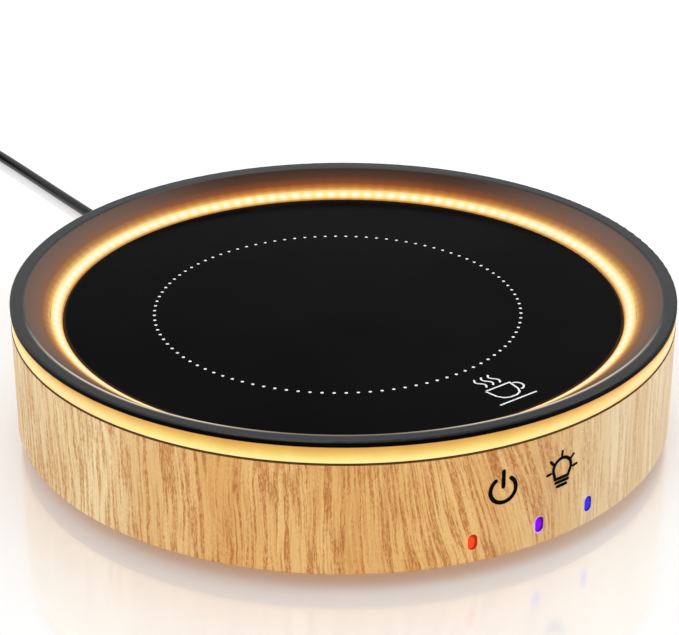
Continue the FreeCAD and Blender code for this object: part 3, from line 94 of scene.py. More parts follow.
class Shade:
    # one material: node() adds any node, paint() closes it with a Principled surface
    def __init__(self, name, world=False):
        made = bpy.data.worlds.new(name) if world else bpy.data.materials.new(name)
        made.use_nodes = True
        self.material = made
        self.tree = made.node_tree
        self.tree.nodes.clear()

    def link(self, value, socket):
        if isinstance(value, Wire):
            self.tree.links.new(value.socket, socket)
        elif hasattr(socket, "default_value"):
            if socket.type == "RGBA" and len(value) == 3:
                value = (*value, 1.0)
            socket.default_value = value

    def node(self, kind, settings=None, sockets=None, out=0):
        made = self.tree.nodes.new("ShaderNode" + kind)
        for key, value in (settings or {}).items():
            if key == "stops":
                ramp = made.color_ramp
                while len(ramp.elements) < len(value):
                    ramp.elements.new(0.5)
                for element, (place, colour) in zip(ramp.elements, value):
                    element.position = place
                    element.color = (*linear(*colour), 1.0)
            else:
                setattr(made, key, value)
        for key, value in (sockets or {}).items():
            self.link(value, made.inputs[key])
        return Wire(self, made.outputs[out])

    def maths(self, operation, a, b=0.0):
        return self.node("Math", {"operation": operation}, {0: a, 1: b})

    def unsigned(self, value):
        # a value without its sign
        return self.maths("ABSOLUTE", value)

    def coords(self):
        return self.node("TexCoord", out=3)      # object space, so the pattern stays on the piece

    def parts(self, vector):
        split = self.node("SeparateXYZ", None, {0: vector})
        node = split.socket.node
        return [Wire(self, node.outputs[i]) for i in range(3)]

    def join(self, x, y, z):
        return self.node("CombineXYZ", None, {0: x, 1: y, 2: z})

    def noise(self, vector, scale, detail=3.0, rough=0.5):
        sockets = {"Vector": vector, "Scale": scale, "Detail": detail, "Roughness": rough}
        return self.node("TexNoise", None, sockets)

    def ramp(self, value, stops):
        # each stop is a place and a colour from 0 to 255
        return self.node("ValToRGB", {"stops": stops}, {0: value})

    def blend(self, mask, a, b, mode="MIX"):
        made = self.tree.nodes.new("ShaderNodeMix")
        made.data_type = "RGBA"
        made.blend_type = mode
        for socket, value in ((made.inputs[0], mask), (made.inputs[6], a), (made.inputs[7], b)):
            self.link(value, socket)
        return Wire(self, made.outputs[2])

    def span(self, value, low, high, toLow=0.0, toHigh=1.0):
        # a smooth step from toLow to toHigh while the value goes from low to high
        sockets = {"Value": value, "From Min": low, "From Max": high, "To Min": toLow, "To Max": toHigh}
        return self.node("MapRange", {"interpolation_type": "SMOOTHSTEP"}, sockets)

    def vary(self, noise, low, high):
        # a value that wanders from low to high with a noise, whose own values lie mostly at 0.3 to 0.7
        return self.span(noise, 0.3, 0.7, low, high)

    def paint(self, sockets, bump=None, relief=(0.0, 0.0)):
        # relief is the strength and the depth of the bump
        if bump is not None:
            strength, depth = relief
            bumpSockets = {"Strength": strength, "Distance": depth, "Height": bump}
            sockets["Normal"] = self.node("Bump", None, bumpSockets)
        return self.close(self.node("BsdfPrincipled", None, sockets))

    def close(self, surface, end="OutputMaterial"):
        last = self.tree.nodes.new("ShaderNode" + end)
        self.tree.links.new(surface.socket, last.inputs[0])
        return self.material


def linear(red, green, blue):
    # a colour as a picture editor shows it, 0 to 255, turned linear by the usual sRGB formula
    shares = [value / 255 for value in (red, green, blue)]
    return tuple(s / 12.92 if s <= 0.04045 else ((s + 0.055) / 1.055) ** 2.4 for s in shares)


def roundCoords(shade):
    # radius, angle from the front towards the right in radians, and height of a point, in metres
    x, y, z = shade.parts(shade.coords())
    radius = shade.maths("SQRT", x * x + y * y)
    return radius, shade.maths("ARCTAN2", x, 0.0 - y), z


def bell(shade, value, middle, width):
    # 1 at the middle, falling smoothly to 0 on both sides
    share = (value - middle) / width
    return shade.maths("EXPONENT", share * share * -1.0)


def placed(name, data):
    # a new object in the scene
    made = bpy.data.objects.new(name, data)
    bpy.context.scene.collection.objects.link(made)
    return made


# camera: place, aim and lens found from the outlines of the rim, plate and sleeve in the photograph
cameraSetup = {
    "distance": 464.4 * mm, "elevation": 25.12, "focal": 2035.6, "middle": (343.4, 304.25),
    "frame": (679, 635), "sensor": 36.0, "nearest": 10 * mm,
}


def makeCamera(setup):
    wide, tall = setup["frame"]
    data = bpy.data.cameras.new("camera")
    data.sensor_width = setup["sensor"]
    data.lens = setup["focal"] / wide * data.sensor_width
    data.shift_x = (wide / 2 - setup["middle"][0]) / wide
    data.shift_y = (setup["middle"][1] - tall / 2) / wide
    data.clip_start = setup["nearest"]
    camera = placed("camera", data)
    raised = math.radians(setup["elevation"])
    aim = Vector((0, 0, plateTop))
    back = Vector((0, -math.cos(raised), math.sin(raised)))
    camera.location = aim + back * setup["distance"]
    camera.rotation_euler = (-back).to_track_quat("-Z", "Y").to_euler()
    bpy.context.scene.camera = camera


makeCamera(cameraSetup)
print("camera placed")


# satin black sheath of the cord, its relief and its plug
sheath = {
    "grain": 2600, "cloud": 60, "tones": [(0.3, (9, 9, 10)), (0.7, (15, 15, 16))], "rough": (0.26, 0.36),
    "specular": 0.3, "relief": (0.1, 0.04 * mm),
}


def cordJacket(look):
    shade = Shade("cord_jacket")
    grain = shade.noise(shade.coords(), look["grain"], 2)
    tone = shade.ramp(shade.noise(shade.coords(), look["cloud"], 3), look["tones"])
    sockets = {"Base Color": tone, "Roughness": shade.vary(grain, *look["rough"]),
               "Specular IOR Level": look["specular"]}
    return shade.paint(sockets, grain, look["relief"])


# wood-grain film on the sleeve: pale ash with reddish pore dashes that lean to the left towards the top
wood = {
    "light": (234, 198, 142), "honey": (222, 178, 118), "streak": (200, 142, 80), "pore": (168, 94, 34),
    # inside: the bare moulding's colour inside and on the top edge; its dark brown also paints the shade in
    # the gap under the band
    "inside": (84, 46, 24), "filmInside": 0.6 * mm, "topRound": 0.45 * mm, "topEdge": 0.06 * mm,
    # the grain's lean, its waver, and one tall figure round which it swings
    "lean": 0.3, "waver": 0.04, "waverScale": 45, "figure": 0.028, "figureWidth": 0.018, "figureLean": 4.2,
    # each layer's stretch up the wall, scale, detail and roughness
    "layers": {
        "columns": (0.045, 1250, 1, 0.4), "fibres": (0.035, 2300, 3, 0.6), "dashes": (0.18, 3300, 2, 0.5),
        "flecks": (0.33, 3900, 2, 0.5), "bands": (0.15, 75, 3, 0.5), "veins": (0.12, 210, 3, 0.55),
    },
    # where each mark comes in and is full, in the values of its layer, and how strong it is
    "band": (0.36, 0.62), "column": (0.46, 0.62), "fibre": (0.47, 0.66), "streakShare": 0.5,
    "poreDash": (0.45, 0.58), "poreColumn": (0.47, 0.60), "poreShare": 0.62,
    "fleck": (0.49, 0.60), "fleckColumn": (0.38, 0.58, 0.3, 1.0), "fleckShare": 0.42,
    "vein": (0.56, 0.68), "veinShare": 0.5,
    # metres round the wall from the front: where the marks fade, and where the warm front turns pale with
    # painted sheen
    "calm": (0.034, 0.058), "calmShare": 0.55, "warmTo": 0.022, "sheenFrom": 0.066,
    "warm": (0.92, 0.83, 0.63), "sheenLeft": (1.05, 1.28, 1.58), "sheenRight": (0.92, 1.08, 1.38),
    # light of the indicators on the film round them
    "halo": {"red_indicator_lens": (250, 170, 110), "purple_indicator_lens": (226, 176, 255),
             "blue_indicator_lens": (190, 170, 220)},
    "haloReach": (2.45 * mm, 1.75 * mm), "haloSquash": 2.4, "haloShare": 0.6,
    "fibreRough": 0.5, "roughFrom": (0.1, 1.2), "rough": (0.42, 0.62), "coat": 0.05, "coatRough": 0.3,
    "specular": 0.3, "fibreBump": 0.3, "relief": (0.14, 0.06 * mm),
}


def lensCentre(name):
    # middle of an indicator's window: metres round the wall from the front, and height
    low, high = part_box(name)
    middle = (low + high) / 2
    return math.atan2(middle.x, -middle.y) * bodyRadius, middle.z


def woodGrain(look):
    shade = Shade("wood_grain")
    point = shade.coords()
    radius, angle, z = roundCoords(shade)
    arc = angle * bodyRadius
    light, honey, streak, dark = [linear(*look[key]) for key in ("light", "honey", "streak", "pore")]

    figure = bell(shade, arc, look["figure"], look["figureWidth"])
    waver = (shade.noise(point, look["waverScale"], 2) - 0.5) * look["waver"]
    twist = z * look["lean"] + figure * z * look["figureLean"] + waver
    leaning = shade.node("VectorRotate", {"rotation_type": "Z_AXIS"}, {"Vector": point, "Angle": twist})
    x, y, up = shade.parts(leaning)
    layer = {}
    for name, (stretch, scale, detail, rough) in look["layers"].items():
        layer[name] = shade.noise(shade.join(x, y, up * stretch), scale, detail, rough)

    strength = 1.0 - shade.span(arc, *look["calm"]) * look["calmShare"]
    tone = shade.blend(shade.span(layer["bands"], *look["band"]), honey, light)
    column = shade.span(layer["columns"], *look["column"]) * strength
    tone = shade.blend(column * look["streakShare"], tone, streak)
    fibre = shade.span(layer["fibres"], *look["fibre"]) * strength
    tone = shade.blend(fibre * look["streakShare"], tone, streak)
    poreColumn = shade.span(layer["columns"], *look["poreColumn"])
    pore = shade.span(layer["dashes"], *look["poreDash"]) * poreColumn * strength
    tone = shade.blend(pore * look["poreShare"], tone, dark)
    fleckColumn = shade.span(layer["columns"], *look["fleckColumn"])
    fleck = shade.span(layer["flecks"], *look["fleck"]) * fleckColumn * strength
    tone = shade.blend(fleck * look["fleckShare"], tone, dark)
    vein = shade.span(layer["veins"], *look["vein"]) * figure
    tone = shade.blend(vein * look["veinShare"], tone, dark)

    # painted sheen: the film is tinted warm in front and paler, cooler towards both sides
    left = shade.span(arc, -look["warmTo"], -look["sheenFrom"])
    right = shade.span(arc, look["warmTo"], look["sheenFrom"])
    sideSheen = shade.blend(right, shade.blend(left, look["warm"], look["sheenLeft"]), look["sheenRight"])
    tone = shade.blend(1.0, tone, sideSheen, "MULTIPLY")
    for name, colour in look["halo"].items():
        across, high = lensCentre(name)
        reach = shade.maths("SQRT", (arc - across) ** 2.0 * look["haloSquash"] + (z - high) ** 2.0)
        near = shade.span(reach, *look["haloReach"])
        tone = shade.blend(near * look["haloShare"], tone, linear(*colour))

    # inside and on the top edge the bare moulding shows in dark brown: its own colour, and painted shade for
    # the gap line under the band
    filmTop = sleeveHigh.z - look["topRound"] - look["topEdge"]
    outside = (radius > bodyRadius - look["filmInside"]) * (z < filmTop)      # the film covers only this
    tone = shade.blend(outside, linear(*look["inside"]), tone)
    rough = shade.span(pore + layer["fibres"] * look["fibreRough"], *look["roughFrom"], *look["rough"])
    sockets = {"Base Color": tone, "Roughness": rough, "Coat Weight": look["coat"],
               "Coat Roughness": look["coatRough"], "Specular IOR Level": look["specular"]}
    return shade.paint(sockets, layer["fibres"] * look["fibreBump"] - pore * outside, look["relief"])


# the ring of lamps, which shows in the light guide and on the slope of the rim
ringLight = {"lamps": 132, "sides": (0.35, 0.95)}


def lampPulse(shade, angle):
    # 1 over each lamp, 0 between two
    return shade.maths("COSINE", angle * float(ringLight["lamps"])) * 0.5 + 0.5


def towardsSides(shade, angle):
    # 0 at the front and the back, 1 at the left and the right
    return shade.span(shade.unsigned(shade.maths("SINE", angle)), *ringLight["sides"])


# light guide: rows of lamps glow through the inner ring, and the outer band is lit from below
guide = {
    "ringInner": plateRadius + 0.1 * mm, "ringWidth": 2.4 * mm, "bandLow": 29.85 * mm,
    "bandHeight": 3.55 * mm, "bandInner": 72.6 * mm, "bandTurn": (0.35, 1.15),
    "bandFront": [(0.0, (255, 241, 162)), (0.25, (250, 230, 138)), (0.5, (240, 204, 106)),
                  (0.75, (228, 176, 84)), (1.0, (214, 152, 72))],
    "bandSide": [(0.0, (242, 196, 122)), (0.22, (255, 230, 168)), (0.6, (255, 222, 150)),
                 (0.88, (240, 180, 98)), (1.0, (206, 138, 66))],
    "ring": [(0.0, (206, 142, 58)), (0.14, (255, 208, 112)), (0.5, (255, 236, 162)),
             (0.8, (255, 226, 140)), (1.0, (255, 200, 108))],
    "lamp": (255, 251, 226), "lampMiddle": 0.5, "lampWidth": 0.3, "sideBlur": 0.55,
    "cloud": 140, "cloudDrift": 0.35, "unlit": (0.02, 0.015, 0.01), "unlitShare": 0.9,
    "rough": (0.38, 0.5), "brightness": 0.9, "specular": 0.1, "relief": (0.05, 0.1 * mm),
}


def glowingGuide(look):
    shade = Shade("light_guide")
    radius, angle, z = roundCoords(shade)
    cloud = shade.noise(shade.coords(), look["cloud"], 3, 0.6)
    height = (z - look["bandLow"]) / look["bandHeight"] + (cloud - 0.5) * look["cloudDrift"]
    front = shade.ramp(height, look["bandFront"])
    flank = shade.ramp(height, look["bandSide"])
    band = shade.blend(shade.span(shade.unsigned(angle), *look["bandTurn"]), front, flank)
    across = (radius - look["ringInner"]) / look["ringWidth"]
    ring = shade.ramp(across, look["ring"])
    blur = towardsSides(shade, angle) * look["sideBlur"]      # single lamps run into each other there
    row = bell(shade, across, look["lampMiddle"], look["lampWidth"])
    spot = shade.blend(blur, lampPulse(shade, angle), (1.0, 1.0, 1.0)) * row
    ring = shade.blend(spot, ring, linear(*look["lamp"]))
    glow = shade.blend(radius > look["bandInner"], ring, band)
    base = shade.blend(look["unlitShare"], glow, look["unlit"])
    sockets = {"Base Color": base, "Roughness": shade.vary(cloud, *look["rough"]), "Emission Color": glow,
               "Emission Strength": look["brightness"], "Specular IOR Level": look["specular"]}
    return shade.paint(sockets, cloud, look["relief"])


# top rim: satin black, its slope painted by the glow of the ring, with a painted highlight on its inner edge
# and painted sheen on its flat top
rim = {
    "slopeInner": 66.2 * mm, "slopeWidth": 5.9 * mm, "slopeFoot": 30.2 * mm,
    "back": [(0.0, (255, 200, 106)), (0.10, (222, 136, 64)), (0.28, (150, 86, 46)), (0.55, (100, 64, 46)),
             (0.90, (68, 52, 45)), (0.97, (40, 34, 31)), (1.0, (0, 0, 0))],
    "flank": [(0.0, (255, 208, 122)), (0.12, (206, 144, 88)), (0.30, (154, 108, 80)),
              (0.55, (136, 107, 93)), (0.90, (124, 101, 91)), (0.96, (52, 48, 46)), (1.0, (0, 0, 0))],
    "cloud": 120, "cloudDrift": 0.05, "lampDrift": 0.02,
    # painted highlight of the ring's light on the inner edge: strongest in front, weaker in its very middle
    "edge": (255, 236, 208), "edgeRadius": 72.3 * mm, "edgeWidth": 0.3 * mm, "edgeFoot": 34.1 * mm,
    "edgeFront": (0.2, 0.8), "edgeMiddle": (0.1, 0.5, 0.25, 1.0),
    # the flat top is painted lighter than the near-black outer side of the same moulding: painted sheen on
    # the top, painted shade on the side
    "top": (31, 32, 34), "side": (2, 2, 3), "topFade": (0.5 * mm, 0.1 * mm),
    "grain": 4200, "rough": (0.42, 0.5), "specular": 0.02, "coat": 0.5, "coatRough": 0.22,
    "brightness": 0.8, "relief": (0.05, 0.03 * mm),
}


def rimBlack(look):
    shade = Shade("black_satin")
    radius, angle, z = roundCoords(shade)
    across = (radius - look["slopeInner"]) / look["slopeWidth"]
    cloud = shade.noise(shade.coords(), look["cloud"], 2)
    drift = (cloud - 0.5) * look["cloudDrift"] - lampPulse(shade, angle) * look["lampDrift"]
    place = across + drift * (1.0 - across)
    back = shade.ramp(place, look["back"])
    flank = shade.ramp(place, look["flank"])
    glow = shade.blend(towardsSides(shade, angle), back, flank)
    onSlope = (radius < look["slopeInner"] + look["slopeWidth"]) * (z > look["slopeFoot"])
    glow = shade.blend(onSlope, (0.0, 0.0, 0.0), glow)

    # painted highlight: the ring's light on the inner edge of the top, drawn as glow
    onEdgeHighlight = bell(shade, radius, look["edgeRadius"], look["edgeWidth"]) * (z > look["edgeFoot"])
    inFront = shade.span(shade.maths("COSINE", angle), *look["edgeFront"])
    beside = shade.span(shade.unsigned(angle), *look["edgeMiddle"])
    glow = shade.blend(onEdgeHighlight * (inFront * beside), glow, linear(*look["edge"]))

    fadeFrom, fadeTo = look["topFade"]
    # painted sheen on the flat top, painted shade on the outer side
    onTop = shade.span(z, rimHigh.z - fadeFrom, rimHigh.z - fadeTo)
    grain = shade.noise(shade.coords(), look["grain"], 2)
    tone = shade.blend(onTop, linear(*look["side"]), linear(*look["top"]))
    sockets = {"Base Color": tone, "Roughness": shade.vary(grain, *look["rough"]),
               "Specular IOR Level": look["specular"], "Coat Weight": onTop * look["coat"],
               "Coat Roughness": look["coatRough"], "Emission Color": glow,
               "Emission Strength": look["brightness"]}
    return shade.paint(sockets, grain, look["relief"])


# heating plate: black glass with a faint smudge, browner at its edge where the ring shines in
plate = {
    "tones": ((3, 3, 4), (7, 7, 8)), "cloud": 16, "cloudFrom": (0.35, 0.65), "edge": (60, 38, 22),
    "edgeFade": (0.9 * mm, 0.2 * mm), "smudge": 90, "smudgeFrom": (0.35, 0.7), "rough": (0.12, 0.2),
    "specular": 0.008,
}


def plateGlass(look):
    shade = Shade("plate_glass")
    radius = roundCoords(shade)[0]
    cloud = shade.noise(shade.coords(), look["cloud"], 3)
    dark, light = look["tones"]
    tone = shade.blend(shade.span(cloud, *look["cloudFrom"]), linear(*dark), linear(*light))
    fadeFrom, fadeTo = look["edgeFade"]
    edge = shade.span(radius, plateRadius - fadeFrom, plateRadius - fadeTo)
    tone = shade.blend(edge, tone, linear(*look["edge"]))
    smudge = shade.noise(shade.coords(), look["smudge"], 4, 0.6)
    return shade.paint({"Base Color": tone, "Specular IOR Level": look["specular"],
                        "Roughness": shade.span(smudge, *look["smudgeFrom"], *look["rough"])})


# small lit windows: bright in the middle, darker towards their moulded edge
lenses = {
    "red_indicator_lens": {"slot": "red_lens", "core": (255, 78, 34), "edge": (186, 36, 12)},
    "purple_indicator_lens": {"slot": "purple_lens", "core": (144, 8, 250), "edge": (76, 6, 136)},
    "blue_indicator_lens": {"slot": "blue_lens", "core": (62, 50, 236), "edge": (30, 22, 120)},
}
lensGlow = {
    "halfWide": 1.0 * mm, "halfHigh": 1.75 * mm, "squash": 0.8, "lean": 0.18, "grain": 900, "ragged": 0.3,
    "edgeFrom": (0.55, 1.02), "body": (10, 6, 9), "brightness": 1.0, "specular": 0.01,
    "rough": (0.16, 0.26),
}


def litLens(name, look, glowing):
    shade = Shade(look["slot"])
    angle, z = roundCoords(shade)[1:]
    across, high = lensCentre(name)
    side = (angle * bodyRadius - across) / glowing["halfWide"]
    up = (z - high) / glowing["halfHigh"]
    reach = shade.maths("SQRT", side * side * glowing["squash"] + up * up)
    grain = shade.noise(shade.coords(), glowing["grain"], 2)
    edge = reach + side * glowing["lean"] + (grain - 0.5) * glowing["ragged"]
    glow = shade.blend(shade.span(edge, *glowing["edgeFrom"]), linear(*look["core"]), linear(*look["edge"]))
    return shade.paint({"Base Color": linear(*glowing["body"]), "Emission Color": glow,
                        "Emission Strength": glowing["brightness"], "Specular IOR Level": glowing["specular"],
                        "Roughness": shade.vary(grain, *glowing["rough"])})


# plainer finishes of the pieces inside and underneath: two tones, grain size, roughness and metal
finishes = {
    "silicone": {"tones": ((78, 79, 82), (96, 97, 100)), "grain": 900, "rough": (0.5, 0.65)},
    "spreader": {"tones": ((176, 178, 182), (206, 207, 210)), "grain": 260, "rough": (0.22, 0.4),
                 "metal": 1.0},
    "film": {"tones": ((176, 104, 34), (206, 132, 50)), "grain": 300, "rough": (0.25, 0.4)},
    "insulation": {"tones": ((206, 203, 192), (232, 230, 222)), "grain": 1500, "rough": (0.85, 0.98)},
    "steel": {"tones": ((150, 152, 156), (196, 198, 202)), "grain": 1300, "rough": (0.25, 0.45),
              "metal": 1.0},
    "board": {"tones": ((16, 82, 42), (26, 110, 58)), "grain": 420, "rough": (0.3, 0.45)},
    "white_board": {"tones": ((214, 214, 206), (238, 238, 232)), "grain": 420, "rough": (0.3, 0.45)},
    "component": {"tones": ((20, 20, 22), (36, 36, 38)), "grain": 2200, "rough": (0.4, 0.6)},
    "yellow_case": {"tones": ((204, 156, 24), (224, 178, 44)), "grain": 1500, "rough": (0.35, 0.5)},
    "green_case": {"tones": ((20, 92, 48), (30, 116, 62)), "grain": 1500, "rough": (0.35, 0.5)},
    "ivory_case": {"tones": ((220, 212, 184), (238, 231, 208)), "grain": 1500, "rough": (0.4, 0.55)},
    "led_lamp": {"tones": ((255, 226, 150), (255, 244, 204)), "grain": 1200, "rough": (0.2, 0.3),
                 "glow": 1.0},
    "foam": {"tones": ((24, 24, 26), (44, 44, 47)), "grain": 3200, "rough": (0.85, 0.98)},
    "base_plastic": {"tones": ((20, 20, 21), (32, 32, 33)), "grain": 3400, "rough": (0.5, 0.66)},
    "foot_rubber": {"tones": ((22, 22, 23), (35, 35, 36)), "grain": 2000, "rough": (0.7, 0.85)},
    "wire_white": {"tones": ((216, 214, 206), (236, 235, 230)), "grain": 900, "rough": (0.4, 0.55)},
    "blade_metal": {"tones": ((182, 176, 160), (214, 209, 196)), "grain": 1100, "rough": (0.2, 0.36),
                    "metal": 1.0},
}
finishShared = {
    "cloudSize": 14, "toneFrom": (0.38, 0.62), "roughFrom": (0.35, 0.65), "relief": (0.12, 0.04 * mm),
}


def plainFinish(name, look, shared):
    shade = Shade(name)
    grain = shade.noise(shade.coords(), look["grain"], 3, 0.6)
    cloud = shade.noise(shade.coords(), look["grain"] / shared["cloudSize"], 3)
    dark, light = look["tones"]
    mottle = shade.span(grain * 0.5 + cloud * 0.5, *shared["toneFrom"])
    tone = shade.blend(mottle, linear(*dark), linear(*light))
    sockets = {"Base Color": tone, "Roughness": shade.span(cloud, *shared["roughFrom"], *look["rough"]),
               "Metallic": look.get("metal", 0.0)}
    if "glow" in look:
        sockets["Emission Color"] = tone
        sockets["Emission Strength"] = look["glow"]
    return shade.paint(sockets, grain, shared["relief"])


# which pieces wear which finish
worn = {
    "wood_grain": ["wood_sleeve"], "light_guide": ["light_guide"], "plate_glass": ["glass_plate"],
    "black_satin": ["top_rim", "cord_clamp"], "silicone": ["plate_gasket"], "spreader": ["heat_spreader"],
    "film": ["heater_film"], "insulation": ["insulation_pad"], "white_board": ["led_board"],
    "led_lamp": ["leds", "indicator_leds"], "board": ["touch_board", "control_board"],
    "foam": ["touch_pads"], "yellow_case": ["film_capacitor"], "green_case": ["terminal_block"],
    "ivory_case": ["cable_headers"], "base_plastic": ["base_cover"], "foot_rubber": ["rubber_feet"],
    "blade_metal": ["plug_blades"],
    "steel": ["heater_pan", "pan_screws", "thermal_fuse", "board_screws", "mains_fuse", "base_screws",
              "clamp_screws"],
    "component": ["temperature_sensor", "electrolytic_capacitor", "inductor", "triac", "microcontroller"],
    "cord_jacket": ["strain_relief", "mains_lead", "power_cord", "cord_coil", "cord_tail", "plug_body"],
    "wire_white": ["mains_cores", "heater_cable", "touch_cable", "led_cable"],
}


def dressNodes():
    # every piece of the model gets the material of its slot, with smooth round faces and crisp edges
    materials = {name: plainFinish(name, look, finishShared) for name, look in finishes.items()}
    materials["cord_jacket"] = jacket
    materials["wood_grain"] = woodGrain(wood)
    materials["light_guide"] = glowingGuide(guide)
    materials["black_satin"] = rimBlack(rim)
    materials["plate_glass"] = plateGlass(plate)
    pieceSlots = {name: slot for slot, names in worn.items() for name in names}
    for name, look in lenses.items():
        materials[look["slot"]] = litLens(name, look, lensGlow)
        pieceSlots[name] = look["slot"]
    for name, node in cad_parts.items():
        node.data.materials.clear()
        node.data.materials.append(materials[pieceSlots[name]])
        for face in node.data.polygons:
            face.use_smooth = True
        node.data.set_sharp_from_angle(angle=creaseAngle)


jacket = cordJacket(sheath)
dressNodes()
print("materials on", len(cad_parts), "pieces")


# the cord: the same points as the model's, from its hole in the sleeve, then its coil and tail
cord = {
    "diameter": 2.9 * mm, "level": 10.4 * mm, "azimuth": 120.0, "inside": 5 * mm,
    "reliefLength": 20.0 * mm, "length": 1.18,
    "route": [(-17.1, 29.25, 9.0), (-24.9, 40.45, 1.5), (-40.9, 62.45, 1.5), (-67.9, 101.25, 1.5),
              (-82.1, 119.25, 1.5)],
    "coilRadius": 16.5 * mm, "turns": 2, "layers": 4, "pitch": 3.8 * mm,
    "tail": [(10.0, 0.0, 0.0), (15.0, -16.0, 1.0), (14.0, -34.0, 1.0), (10.0, -42.0, 1.0)],
    "plugLevel": 7.5 * mm, "perTurn": 16, "roundness": 5, "smoothness": 6,
}


def turned(vector, degrees):
    return Matrix.Rotation(math.radians(degrees), 3, "Z") @ vector


def coilPoints(start, heading, layout):
    # control points of the coil: in and out by turns, one layer on the next
    left = Vector((-heading.y, heading.x, 0))
    spread = layout["turns"] * layout["pitch"] / 2
    outer, inner = layout["coilRadius"] + spread, layout["coilRadius"] - spread
    centre = start + left * outer
    step = 2 * math.pi / layout["perTurn"]
    swell = 1 / math.cos(step / 2) ** 0.5        # control points stand a little outside the curve
    angle = math.atan2(-left.y, -left.x)
    points = []
    for layer in range(layout["layers"]):
        begin, finish = (outer, inner) if layer % 2 == 0 else (inner, outer)
        count = layout["turns"] * layout["perTurn"]
        for i in range(count):
            points.append((angle, begin + (finish - begin) * i / count, layer * layout["pitch"]))
            angle += step
        if layer < layout["layers"] - 1:
            half = layout["perTurn"] // 2
            for i in range(half):
                rise = i / half
                rise = rise * rise * (3 - 2 * rise)
                points.append((angle, finish, (layer + rise) * layout["pitch"]))
                angle += step
    points.append((angle, finish, (layout["layers"] - 1) * layout["pitch"]))
    made = [centre + Vector((math.cos(a) * r * swell, math.sin(a) * r * swell, up)) for a, r, up in points]
    lastHeading = Vector((-math.sin(angle), math.cos(angle), 0))
    return made, lastHeading, centre


def cordPoints(layout):
    # control points from inside the hole to the plug, where the cord leaves, and the coil's centre
    outward = turned(Vector((1, 0, 0)), layout["azimuth"])
    base = Vector((0, 0, layout["level"]))
    exit = outward * (bodyRadius - layout["inside"]) + base
    straight = outward * (bodyRadius + layout["reliefLength"] + layout["diameter"]) + base
    hole = outward * bodyRadius
    route = [exit, straight] + [hole + Vector(offset) * mm for offset in layout["route"]]
    heading = (route[-1] - route[-2]).normalized()
    start = route[-1] + heading * layout["diameter"]
    coil, lastHeading, centre = coilPoints(start, heading, layout)
    end = coil[-1] + lastHeading * layout["diameter"]
    tail = [end]
    for forward, turn, share in layout["tail"]:
        point = tail[-1] + turned(lastHeading, turn) * forward * mm
        tail.append(Vector((point.x, point.y, end.z + (layout["plugLevel"] - end.z) * share)))
    return route + coil + tail, exit, centre


def makeCord(layout):
    points, exit, centre = cordPoints(layout)
    data = bpy.data.curves.new("mains_cord", "CURVE")
    data.dimensions = "3D"
    data.bevel_depth = layout["diameter"] / 2
    data.bevel_resolution = layout["roundness"]
    data.use_fill_caps = True
    spline = data.splines.new("NURBS")
    spline.points.add(len(points) - 1)
    for point, place in zip(spline.points, points):
        point.co = (*place, 1.0)
    spline.order_u = 3
    spline.use_endpoint_u = True
    spline.resolution_u = layout["smoothness"]
    piece = placed("mains_cord", data)
    data.materials.append(jacket)
    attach(piece, "root")
    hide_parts("power_cord", "cord_coil", "cord_tail")
    return centre


# a soft strap that holds the coil together, a flat band round the section of its turns
strap = {
    "azimuth": -35.0, "wide": 4.0 * mm, "thick": 0.5 * mm, "corner": 2.6 * mm, "slack": 0.15 * mm,
    "perCorner": 4,
}


def makeStrap(centre, look, layout):
    halfWide = (layout["turns"] * layout["pitch"] + layout["diameter"]) / 2 + look["slack"]
    top = centre.z + (layout["layers"] - 1) * layout["pitch"] + layout["diameter"] / 2 + look["slack"]
    middle = Vector((0, 0, (top + look["thick"]) / 2))
    halfHigh = (top - look["thick"]) / 2
    outward = turned(Vector((1, 0, 0)), look["azimuth"])
    along = turned(outward, 90)
    base = Vector((centre.x, centre.y, 0)) + outward * layout["coilRadius"] + middle
    bends = []      # middles of the round corners and the angles of their points
    for side, rise, begin in ((1, 1, 0), (-1, 1, 90), (-1, -1, 180), (1, -1, 270)):
        for k in range(look["perCorner"] + 1):
            angle = math.radians(begin + 90 / look["perCorner"] * k)
            bends.append((side * (halfWide - look["corner"]), rise * (halfHigh - look["corner"]), angle))
    section = ((0, -1), (look["thick"], -1), (look["thick"], 1), (0, 1))      # outwards, and along the coil
    corners = []
    for across, high, angle in bends:
        for reach, shift in section:
            radius = look["corner"] + reach
            place = base + outward * (across + math.cos(angle) * radius)
            place += Vector((0, 0, high + math.sin(angle) * radius)) + along * shift * look["wide"] / 2
            corners.append(place)
    size = len(section)
    faces = []
    for i in range(len(bends)):
        for k in range(size):
            j, m = (i + 1) % len(bends), (k + 1) % size
            faces.append((i * size + m, j * size + m, j * size + k, i * size + k))
    data = bpy.data.meshes.new("cord_strap")
    data.from_pydata(corners, [], faces)
    piece = placed("cord_strap", data)
    data.materials.append(jacket)
    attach(piece, "root")


makeStrap(makeCord(cord), strap, cord)
print("cord laid")


def stroke(points, width, endSteps=8):
    # a flat line of even width through 2-D points, with round ends
    count = len(points)
    sides = []
    for i, point in enumerate(points):
        before = points[max(i - 1, 0)]
        after = points[min(i + 1, count - 1)]
        into = (point - before).normalized() if point != before else (after - point).normalized()
        out = (after - point).normalized() if after != point else into
        along = (into + out).normalized()
        across = Vector((-along.y, along.x))
        half = width / 2 / max(0.5, along.dot(into))
        sides.append((point + across * half, point - across * half, along))
    corners = [side[0] for side in sides] + [side[1] for side in sides]
    faces = [(i, i + 1, count + i + 1, count + i) for i in range(count - 1)]
    for i, sense in ((0, -1), (count - 1, 1)):
        centre, along = points[i], sides[i][2] * sense
        across = Vector((-along.y, along.x))
        first = len(corners)
        for k in range(endSteps + 1):
            angle = math.pi * k / endSteps
            corners.append(centre + (across * math.cos(angle) + along * math.sin(angle)) * width / 2)
        faces.append(tuple(range(first, len(corners))))
    return corners, faces


